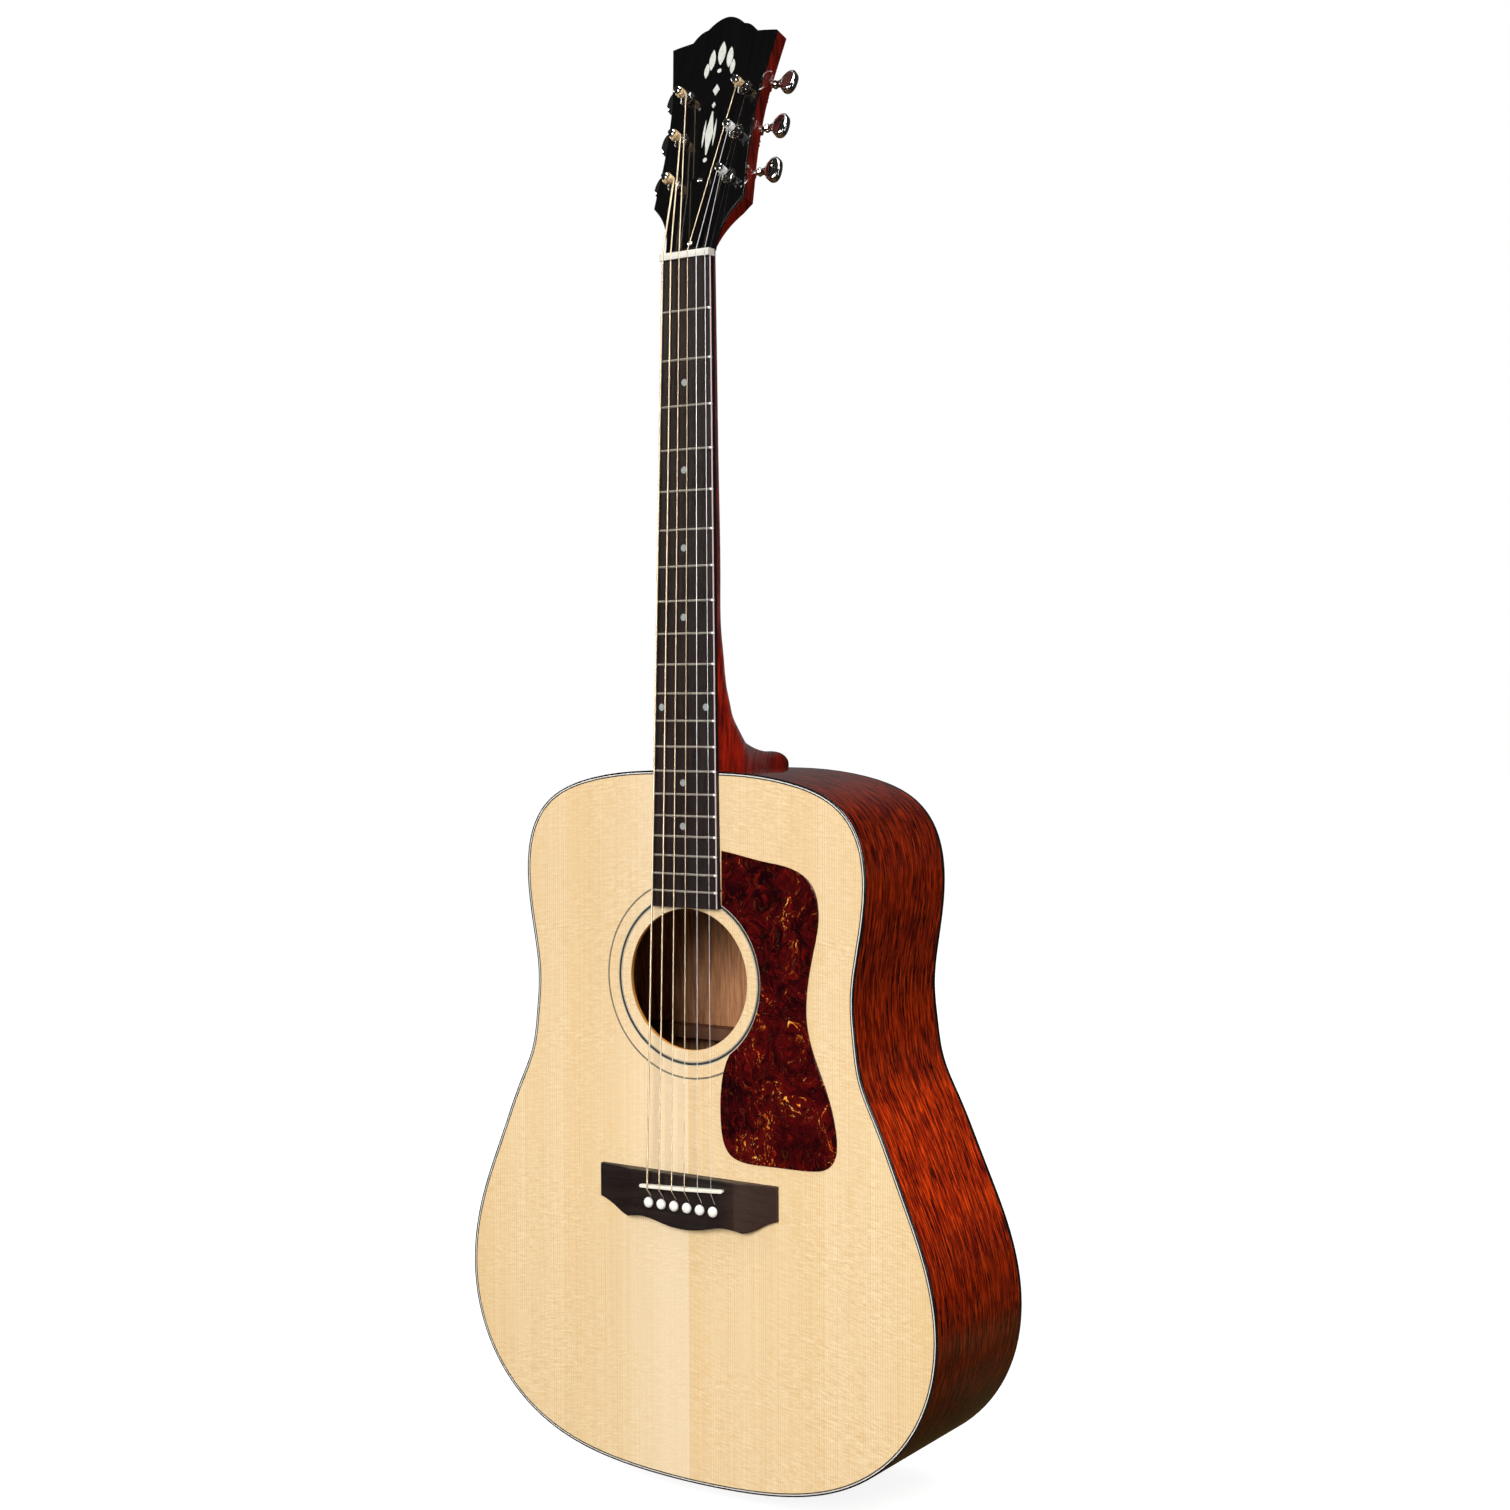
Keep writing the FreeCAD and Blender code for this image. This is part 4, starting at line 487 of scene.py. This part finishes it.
def head_material():
    """Black lacquer over a face veneer: faint grain shows through the gloss."""
    m = Material("head_face_black")
    place = m.place()
    grain = place.stretch(900.0, 40.0, 22.0).noise(detail=4.0, rough=0.6)
    color = grain.fade(0.35, 0.7).mix((0.0014, 0.0012, 0.0014), (0.0038, 0.0034, 0.0034))
    hair = place.stretch(260.0, 60.0, 260.0).noise(detail=3.0, rough=0.7, distortion=2.0)
    soft_edge = m.node("ShaderNodeBevel", {"Radius": 0.0006}, samples=4)
    return m.principled(
        color, rough=hair.fade(0.45, 0.75, start=0.07, end=0.17), coat=1.0, coat_rough=0.03,
        normal=soft_edge, coat_normal=soft_edge)


def bone_material(name, dark, light):
    m = Material(name)
    place = m.place()
    grain = place.stretch(60.0, 220.0, 220.0).noise(detail=4.0, rough=0.6)
    pits = place.stretch(400.0, 1800.0, 1800.0).noise(detail=2.0, rough=0.5)
    pits = pits.fade(0.62, 0.74, end=0.5)
    color = grain.mix(dark, light)
    color = pits.mix(color, darker(dark, 0.72))
    return m.principled(
        color, rough=grain.fade(0.3, 0.7, start=0.26, end=0.38), coat=0.25, coat_rough=0.12,
        normal=pits.bump(-0.1, distance=0.0001), subsurface=0.12)


def pearl_material(name, shade):
    """Shell inlay: pale bands that turn from cream to green and pink."""
    m = Material(name)
    place = m.place()
    warp = place.noise(scale=130.0, detail=3.0, rough=0.6, output="Color")
    warped = place.stretch(1.0).shift(warp.stretch(0.006))
    band = warped.stretch(420.0, 200.0, 760.0).noise(detail=4.0, rough=0.6, distortion=0.8)
    color = band.ramp([
        (0.30, (0.42, 0.46, 0.44)), (0.42, (0.66, 0.70, 0.64)), (0.52, (0.86, 0.86, 0.80)),
        (0.60, (0.74, 0.66, 0.66)), (0.72, (0.92, 0.92, 0.88))])
    facing = m.node("ShaderNodeLayerWeight", {"Blend": 0.35}, "Facing")
    color = (facing * 0.4).mix(color, (0.55, 0.72, 0.68))
    color = color.times(shade)
    return m.principled(color, rough=0.22, metal=0.25, coat=0.8, coat_rough=0.04, specular=0.7)


# ============================================================ inlaid lines
def inlay_finish(m, place, color, mottle, amount):
    """Brownish mottling and a gloss coat over inlaid lines."""
    color = mottle.fade(0.35, 0.7, end=amount).mix(color, (0.40, 0.34, 0.24))
    return m.principled(color, rough=0.3, coat=0.7, coat_rough=0.05,
                        normal=lacquer_normal(place, 0.03))


def rosette_material():
    """Soundhole rings: coloured lines by radius."""
    inner_mm, outer_mm = 58.0, 71.5
    white, grey, black = (0.74, 0.70, 0.60), (0.34, 0.31, 0.26), (0.022, 0.020, 0.020)
    # where each line starts (radius in mm), and its colour
    lines = [(inner_mm, black), (58.70, white), (59.10, black), (60.95, white),
             (61.35, black), (69.8, black), (70.22, grey), (70.56, black)]
    m = Material("rosette_lines")
    place = m.place()
    x, _, z = place.axes()
    radius = distance(x, z - HOLE_Z)
    radius = radius + (place.noise(scale=160.0, detail=2.0, rough=0.5) - 0.5) * 0.00012
    color = radius.fade(inner_mm / 1000.0, outer_mm / 1000.0).ramp(
        [((mm - inner_mm) / (outer_mm - inner_mm), tone) for mm, tone in lines], "CONSTANT")
    mottle = place.stretch(700.0).noise(detail=3.0, rough=0.6)
    return inlay_finish(m, place, color, mottle, amount=0.15)


def purfling_material():
    """A white outer line and a black inner one."""
    m = Material("purfling_lines")
    white, black = (0.86, 0.84, 0.80), (0.012, 0.011, 0.011)
    color = m.attribute("across").ramp([(0.0, white), (0.42, black)], "CONSTANT")
    place = m.place()
    mottle = place.noise(scale=900.0, detail=3.0, rough=0.6)
    return inlay_finish(m, place, color, mottle, amount=0.12)


# ============================================================ metals
def metal(name, color, rough, tarnish=0.25, shine=1.0):
    """Plated or plain metal; shine is how metallic it is."""
    m = Material(name)
    place = m.place()
    scratch = place.stretch(500.0, 500.0, 60.0).noise(detail=3.0, rough=0.65)
    cloud = place.noise(scale=240.0, detail=4.0, rough=0.6)
    color = cloud.fade(0.42, 0.72, end=tarnish).mix(color, darker(color, 0.62))
    rough = (scratch.fade(0.3, 0.75, start=rough * 0.6, end=rough * 1.6)
             + cloud.fade(0.45, 0.75, end=0.08))
    return m.principled(color, rough, metal=shine, normal=scratch.bump(0.06, distance=0.0001))


def fret_material():
    """Nickel silver crowns, worn dull along the top, with a painted highlight on the filed ends.
    """
    m = Material("fret_nickel")
    place = m.place()
    x, _, z = place.axes()
    scratch = place.stretch(60.0, 700.0, 700.0).noise(detail=3.0, rough=0.65)
    cloud = place.noise(scale=240.0, detail=4.0, rough=0.6)
    # half the board's width, narrowing up to the nut
    half_width = z.fade(0.4115, NUT_Z, start=0.0286, end=0.0212)
    # painted highlight: where the frets reach the board's edges their ends are painted near-white
    # and less metallic, standing for the glint on the bevels
    end = (half_width - abs(x)).fade(0.0014, 0.0019, start=1.0, end=0.0)
    color = cloud.fade(0.42, 0.72, end=0.3).mix((0.62, 0.57, 0.49), (0.40, 0.36, 0.31))
    color = end.mix(color, (0.97, 0.97, 0.97))
    return m.principled(
        color, rough=scratch.fade(0.3, 0.75, start=0.18, end=0.34) + end * 0.1,
        metal=end.fade(0.0, 1.0, start=0.65, end=0.12),
        normal=scratch.bump(0.06, distance=0.0001))


def wound_string(name, color, pitch):
    """Round-wound bronze: the wrap is a fine thread along the string."""
    m = Material(name)
    place = m.place()
    x, _, z = place.axes()
    thread = (z * (2 * math.pi / pitch) + x * 1500.0).math("SINE")
    cloud = place.stretch(40.0, 40.0, 60.0).noise(detail=3.0, rough=0.6)
    # painted shade: the colour darkens in the grooves between the turns of the wrap
    groove_shade_color = darker(color, 0.42)
    mixed = thread.fade(-1.0, 0.0, start=0.7, end=0.0).mix(color, groove_shade_color)
    mixed = cloud.fade(0.45, 0.7, end=0.35).mix(mixed, darker(color, 0.6))
    return m.principled(mixed, rough=0.26, metal=0.72,
                        normal=thread.bump(0.35, distance=0.0001))


# ============================================================ which piece wears what
def numbered(stem):
    return ["%s_%d" % (stem, i) for i in range(1, 7)]


PLAIN_STRING = metal("plain_string", (0.96, 0.97, 1.0), rough=0.20, shine=0.35)

# material, pieces that wear it
FINISHES = [
    (spruce_material(), ["top_bass_half", "top_treble_half"]),
    (mahogany("mahogany_side", "side"), ["side_bass", "side_treble"]),
    (mahogany("mahogany_back", "back"), ["back_bass_half", "back_treble_half"]),
    (mahogany("mahogany_neck", "neck"), ["neck"]),
    (rosewood("rosewood_board", "z"), ["fingerboard"]),
    (rosewood("rosewood_bridge", "x"), ["bridge"]),
    (tortoise_material(), ["pickguard"]),
    (black_gloss("binding_black", tint=(0.005, 0.0045, 0.0045), rough=0.16),
     ["top_binding", "back_binding", "end_graft", "heel_cap"]),
    (black_gloss("cover_black", tint=(0.0016, 0.0015, 0.0015), rough=0.07),
     ["truss_rod_cover"]),
    (black_gloss("strap_black", tint=(0.014, 0.013, 0.013), rough=0.2), ["strap_button"]),
    (head_material(), ["head_veneer"]),
    (bone_material("bone_nut", (0.84, 0.79, 0.67), (0.93, 0.90, 0.82)), ["saddle"]),
    (bone_material("nut_bone", (0.60, 0.585, 0.53), (0.73, 0.715, 0.67)), ["nut"]),
    (bone_material("cream_pin", (0.93, 0.91, 0.85), (0.96, 0.95, 0.91)),
     numbered("bridge_pin")),
    (pearl_material("pearl_inlay", shade=(1.0, 1.0, 1.0)), ["head_inlay"]),
    (pearl_material("pearl_dots", shade=(0.50, 0.55, 0.60)), ["fret_markers"]),
    (metal("nickel_plate", (0.86, 0.84, 0.81), rough=0.035, tarnish=0.12),
     ["tuner_housings", "tuner_bushings", "small_screws"]
     + numbered("tuner_button") + numbered("tuner_post")),
    (fret_material(), ["frets"]),
    (metal("plain_steel", (0.50, 0.50, 0.51), rough=0.3), ["truss_rod", "truss_rod_nut"]),
    (PLAIN_STRING, ["string_1", "string_2"]),
    (raw_wood("raw_spruce", (0.60, 0.44, 0.26), (0.72, 0.56, 0.36)),
     ["top_braces", "linings"]),
    (raw_wood("raw_mahogany", rgb(122, 78, 52), rgb(150, 102, 72)),
     ["neck_block", "tail_block", "bridge_plate", "back_center_strip"]),
    (raw_wood("brace_mahogany", rgb(98, 62, 42), rgb(124, 82, 56)), ["back_braces"]),
    (rosette_material(), ["rosette"]),
    (purfling_material(), ["top_purfling"]),
]

# pitch of the wrap on each wound string; it opens up where the string is coiled
WRAP_PITCH = {3: 0.00042, 4: 0.00050, 5: 0.00062, 6: 0.00075}
COIL_PITCH_FACTOR = 1.3
COIL_MATERIAL = {1: PLAIN_STRING, 2: PLAIN_STRING}
for number, wrap in WRAP_PITCH.items():
    bronze = wound_string("bronze_string_%d" % number, (0.96, 0.78, 0.54), wrap)
    FINISHES.append((bronze, ["string_%d" % number]))
    # painted shade: each coil is a darker bronze than the same string over the board
    COIL_MATERIAL[number] = wound_string("bronze_coil_%d" % number, (0.82, 0.60, 0.34),
                                         wrap * COIL_PITCH_FACTOR)

for material, pieces in FINISHES:
    for piece in pieces:
        slots = NODES[piece].data.materials
        slots.clear()
        slots.append(material)


# ============================================================ body outline
# cosine series, in mm, of the outline's radius about a centre on the centre line
OUTLINE_CENTRE_MM = 270.0
OUTLINE_MM = [220.638, -27.372, 55.888, 17.435, -16.308, -3.883, -7.662, -4.145,
              0.144, 1.471, 1.342, 1.287, 0.547, -0.535, -0.617, -0.233]
SIDE_SKIN = 0.0015          # deeper than this the side is bare wood
PURFLING_SPLIT = 0.00197    # where the white line ends and the black one starts


def outline_points(steps):
    """(x, z) of the treble half of the outline, from the neck end to the tail."""
    points = []
    for degrees in np.linspace(0, 180, steps + 1):
        angle = math.radians(degrees)
        radius = sum(a * math.cos(k * angle) for k, a in enumerate(OUTLINE_MM))
        points.append((radius * math.sin(angle), OUTLINE_CENTRE_MM + radius * math.cos(angle)))
    return np.array(points) / 1000.0


def outline_distances(mesh, points):
    """Distance from every vertex, folded to the treble half, to every outline point."""
    places = np.zeros(len(mesh.vertices) * 3)
    mesh.vertices.foreach_get("co", places)
    places = places.reshape(-1, 3)
    folded = np.stack([np.abs(places[:, 0]), places[:, 2]], 1)
    return np.linalg.norm(folded[:, None, :] - points[None, :, :], axis=2)


def add_attribute(mesh, name, values):
    attribute = mesh.attributes.new(name, "FLOAT", "POINT")
    attribute.data.foreach_set("value", values.astype(np.float32))


def tag_sides():
    """Gives the bent sides their length along the bend, and marks their inner face."""
    points = outline_points(720)
    arc = np.concatenate([[0], np.cumsum(np.hypot(*np.diff(points, axis=0).T))])
    for name in ("side_bass", "side_treble"):
        mesh = NODES[name].data
        distances = outline_distances(mesh, points)
        add_attribute(mesh, "arc", arc[distances.argmin(1)])
        add_attribute(mesh, "inner", distances.min(1) > SIDE_SKIN)


def tag_purfling():
    """0 at the purfling's outer edge, 1 at its inner edge."""
    mesh = NODES["top_purfling"].data
    distances = outline_distances(mesh, outline_points(1440))
    add_attribute(mesh, "across", distances.min(1) > PURFLING_SPLIT)


tag_sides()
tag_purfling()

# ============================================================ string coils (mm)
HEAD_TILT = math.radians(15.5)                           # the head leans back
HEAD_START_MM = 4.4                                      # its face behind the top, at the nut
GAUGES_MM = [0.305, 0.406, 0.610, 0.813, 1.067, 1.346]   # strings 1 to 6
# posts of strings 1 to 3, along the head from the nut and out from the centre line;
# strings 6 to 4 mirror them
POST_ALONG_MM = [61.0, 95.0, 129.0]
POST_OUT_MM = [23.4, 23.8, 25.0]
POST_RADIUS_MM = 2.6
COIL_GAP_MM = 0.08                                       # between post and string
TURN_GAP_MM = 0.06                                       # between turns
COIL_BASE_MM, COIL_TOP_MM = 6.0, 10.9                    # above the head's face
MOST_TURNS = 6
STEPS_PER_TURN = 40
ROD_SIDES = 10


def head_point(x, along, above):
    """A place in metres from mm across, along and above the head's face."""
    sine, cosine = math.sin(HEAD_TILT), math.cos(HEAD_TILT)
    return Vector((x / 1000.0,
                   (HEAD_START_MM + along * sine - above * cosine) / 1000.0 + TOP_Y,
                   (NUT_Z * 1000.0 + along * cosine + above * sine) / 1000.0))


def sweep(name, path, radius, material):
    """A round rod along the path, closed with low pointed ends."""
    bm = bmesh.new()
    side = (path[1] - path[0]).normalized().orthogonal().normalized()
    rings = []
    for k, point in enumerate(path):
        ahead = (path[min(k + 1, len(path) - 1)] - path[max(k - 1, 0)]).normalized()
        side = (side - ahead * side.dot(ahead)).normalized()
        other = ahead.cross(side)
        angles = [2 * math.pi * j / ROD_SIDES for j in range(ROD_SIDES)]
        rings.append([bm.verts.new(point + (side * math.cos(a) + other * math.sin(a)) * radius)
                      for a in angles])
    for low, high in zip(rings[:-1], rings[1:]):
        for j in range(ROD_SIDES):
            k = (j + 1) % ROD_SIDES
            bm.faces.new((low[j], low[k], high[k], high[j])).smooth = True
    for ring, end, before in ((rings[0], path[0], path[1]), (rings[-1], path[-1], path[-2])):
        tip = bm.verts.new(end + (end - before).normalized() * radius * 0.35)
        for j in range(ROD_SIDES):
            k = (j + 1) % ROD_SIDES
            first, second = (ring[k], ring[j]) if ring is rings[0] else (ring[j], ring[k])
            bm.faces.new((first, second, tip))
    bm.normal_update()
    mesh = bpy.data.meshes.new(name)
    bm.to_mesh(mesh)
    bm.free()
    rod = bpy.data.objects.new(name, mesh)
    bpy.context.scene.collection.objects.link(rod)
    mesh.materials.append(material)
    return rod


def coil(number):
    """The string's turns round its post, up to the hole and out of the far side."""
    radius = GAUGES_MM[number - 1] / 2
    if number <= 3:
        post_x, post_along = POST_OUT_MM[number - 1], POST_ALONG_MM[number - 1]
        start, way = math.pi, -1
    else:
        post_x, post_along = -POST_OUT_MM[6 - number], POST_ALONG_MM[6 - number]
        start, way = 0.0, 1
    lay = POST_RADIUS_MM + radius + COIL_GAP_MM
    rise = COIL_TOP_MM - COIL_BASE_MM
    turns = min(MOST_TURNS, int(rise / (2 * radius + TURN_GAP_MM)))
    sweep_angle = turns * 2 * math.pi + math.pi / 2
    steps = turns * STEPS_PER_TURN + STEPS_PER_TURN // 4
    path = []
    for k in range(steps + 1):
        share = k / steps
        angle = start + way * sweep_angle * share
        # a slight unevenness, left out at both ends
        wobble = 0.10 * math.sin(3.1 * angle + number) if 0.05 < share < 0.95 else 0
        path.append(head_point(post_x + lay * math.cos(angle),
                               post_along + lay * math.sin(angle),
                               COIL_BASE_MM + rise * share + wobble * radius))
    # through the post: shift across, shift along, lift
    for across, along, lift in ((0, lay * 0.72, 0), (0, 0, 0), (0, -3.4, 0),
                                (0.3 * way, -4.4, 0.1), (0.7 * way, -5.4, 0.35)):
        path.append(head_point(post_x + across, post_along + along, COIL_TOP_MM + lift))
    rod = sweep("string_coil_%d" % number, path, radius / 1000.0, COIL_MATERIAL[number])
    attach(rod, "post_%d" % number)


for number in range(1, 7):
    coil(number)


# ============================================================ staging
FLOOR_SIZE = 14.0
FLOOR_DROP = 0.0005         # the floor lies this far below the guitar
WARM = (1.0, 0.985, 0.96)
SOFT_WARM = (1.0, 0.99, 0.97)


def floor_material():
    """Near-white to the camera, dark to the light that reaches the guitar."""
    m = Material("floor_paper")
    place = m.place()
    fibre = place.noise(scale=60.0, detail=4.0, rough=0.6)
    paper = m.node("ShaderNodeBsdfDiffuse",
                   (fibre.mix((0.36, 0.36, 0.355), (0.38, 0.38, 0.375)),))
    rays = m.node("ShaderNodeLightPath")
    camera_ray = rays.output("Is Camera Ray")
    x, y, _ = place.axes()
    far = distance(x, y)
    glow = m.node("ShaderNodeEmission",
                  ((1, 1, 1), camera_ray * far.fade(0.30, 1.4, start=0.86)))
    seen = m.node("ShaderNodeAddShader", (paper, glow))
    # the floor glows a dim warm patch round the foot that only gloss coats see, a painted
    # reflection on the lower sides; matt ones see a dark paper, so that the underside of the body
    # stays deep in colour
    patch = place.noise(scale=2.4, detail=2.0, rough=0.5).fade(0.4, 0.6)
    patch = patch.mix((0.045, 0.028, 0.010), (0.12, 0.075, 0.030))
    brown = m.node("ShaderNodeEmission",
                   (far.fade(0.45, 1.2).mix(patch, (0.016, 0.013, 0.011)),))
    dark = m.node("ShaderNodeBsdfDiffuse",
                  (fibre.mix((0.16, 0.15, 0.14), (0.20, 0.19, 0.18)),))
    unseen = m.node("ShaderNodeMixShader", (rays.output("Is Glossy Ray"), dark, brown))
    return m.finish(m.node("ShaderNodeMixShader", (camera_ray, unseen, seen)))


def add_floor():
    bm = bmesh.new()
    bmesh.ops.create_grid(bm, x_segments=8, y_segments=8, size=FLOOR_SIZE)
    mesh = bpy.data.meshes.new("studio_floor")
    bm.to_mesh(mesh)
    bm.free()
    floor = bpy.data.objects.new("studio_floor", mesh)
    floor.location = (0, 0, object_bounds()[0].z - FLOOR_DROP)
    bpy.context.scene.collection.objects.link(floor)
    mesh.materials.append(floor_material())


def around(azimuth, elevation, reach, height=0.5):
    """A place at a distance from the point on the z axis at this height.  Angles are in
    degrees; azimuth 0 is in front, 90 the treble side."""
    a, e = math.radians(azimuth), math.radians(elevation)
    return (reach * math.sin(a) * math.cos(e), -reach * math.cos(a) * math.cos(e),
            height + reach * math.sin(e))


def area(name, place, aim, power, width, height=None, color=(1, 1, 1)):
    """An area light aimed at the z axis at height aim; square if it has no height."""
    light = bpy.data.lights.new(name, "AREA")
    light.energy = power
    light.color = color
    light.size = width
    if height:
        light.shape = "RECTANGLE"
        light.size_y = height
    lamp = bpy.data.objects.new(name, light)
    bpy.context.scene.collection.objects.link(lamp)
    lamp.location = place
    lamp.rotation_mode = "QUATERNION"
    lamp.rotation_quaternion = (Vector((0, 0, aim)) - Vector(place)).to_track_quat("-Z", "Y")
    return lamp


def add_lights():
    # around: azimuth, elevation, distance, height of the point it goes round
    area("front_key", around(8, 16, 3.1), aim=0.36, power=108, width=1.5, color=WARM)
    area("left_soft", around(-78, 24, 2.6), aim=0.5, power=14, width=1.1, color=SOFT_WARM)
    area("right_top", around(80, 52, 2.9), aim=0.40, power=34, width=0.30, height=1.6,
         color=WARM)
    area("top_strip", (0.35, -0.55, 2.5), aim=0.9, power=4, width=0.16, height=0.9)
    area("strip_right", around(118, 8, 2.0, 0.8), aim=0.8, power=3, width=0.10, height=1.3)
    area("strip_left", around(-100, 12, 2.0, 0.9), aim=0.9, power=4, width=0.12, height=1.0)
    back = area("back_soft", around(180, 3, 3.2, 0.6), aim=0.6, power=38, width=1.5,
                color=WARM)
    back.visible_camera = False
    back.visible_glossy = False
    # narrow cards that only the polished edges and the metal pick up
    edge = area("edge_card", around(56, 6, 2.2, 0.6), aim=0.6, power=7, width=0.12,
                height=1.5)
    post = area("post_card", around(-62, 12, 1.7, 0.95), aim=0.95, power=5, width=0.30,
                height=0.5)
    edge.visible_diffuse = False
    post.visible_diffuse = False


def add_world():
    """White to the camera, dim to the object: a dark studio with a grey far
    wall behind, which only the glossy finishes pick up."""
    to_camera, to_diffuse, to_gloss, wall = 1.0, 0.085, 0.022, 0.10
    wall_direction = Vector((-0.42, 0.88, 0.10)).normalized()
    world = bpy.data.worlds.new("studio")
    bpy.context.scene.world = world
    world.use_nodes = True
    s = Shader(world.node_tree)
    rays = s.node("ShaderNodeLightPath")

    def pick(flag, yes, no):
        return s.node("ShaderNodeMix", {0: rays.output(flag), 2: no, 3: yes},
                      data_type="FLOAT")

    direction = s.node("ShaderNodeTexCoord", output="Generated")
    towards_wall = s.node("ShaderNodeVectorMath", (direction, wall_direction), "Value",
                          operation="DOT_PRODUCT")
    gloss = towards_wall.fade(0.70, 1.0, start=to_gloss, end=wall, smooth=True)
    strength = pick("Is Glossy Ray", yes=gloss, no=to_diffuse)
    strength = pick("Is Camera Ray", yes=to_camera, no=strength)
    background = s.tree.nodes["Background"]
    s.put(background.inputs[0], (1, 1, 1))
    s.put(background.inputs[1], strength)


def add_camera():
    azimuth, elevation, roll = (math.radians(v) for v in (33.458, 1.438, -0.191))
    place = (0.887668, -1.256152 + TOP_Y, 0.557777)
    back = Vector((math.sin(azimuth) * math.cos(elevation),
                   -math.cos(azimuth) * math.cos(elevation), math.sin(elevation)))
    level = Vector((math.cos(azimuth), math.sin(azimuth), 0))
    upright = back.cross(level)
    right = level * math.cos(roll) + upright * math.sin(roll)
    up = -level * math.sin(roll) + upright * math.cos(roll)
    lens = bpy.data.cameras.new("camera")
    lens.sensor_width = 36.0
    lens.sensor_fit = "HORIZONTAL"
    lens.lens = 51.8124636
    lens.clip_start = 0.05
    lens.clip_end = 60.0
    camera = bpy.data.objects.new("camera", lens)
    bpy.context.scene.collection.objects.link(camera)
    rows = [(right[i], up[i], back[i], place[i]) for i in range(3)]
    camera.matrix_world = Matrix((*rows, (0, 0, 0, 1)))
    bpy.context.scene.camera = camera
    bpy.context.scene.view_settings.view_transform = "Standard"


add_floor()
add_lights()
add_world()
add_camera()
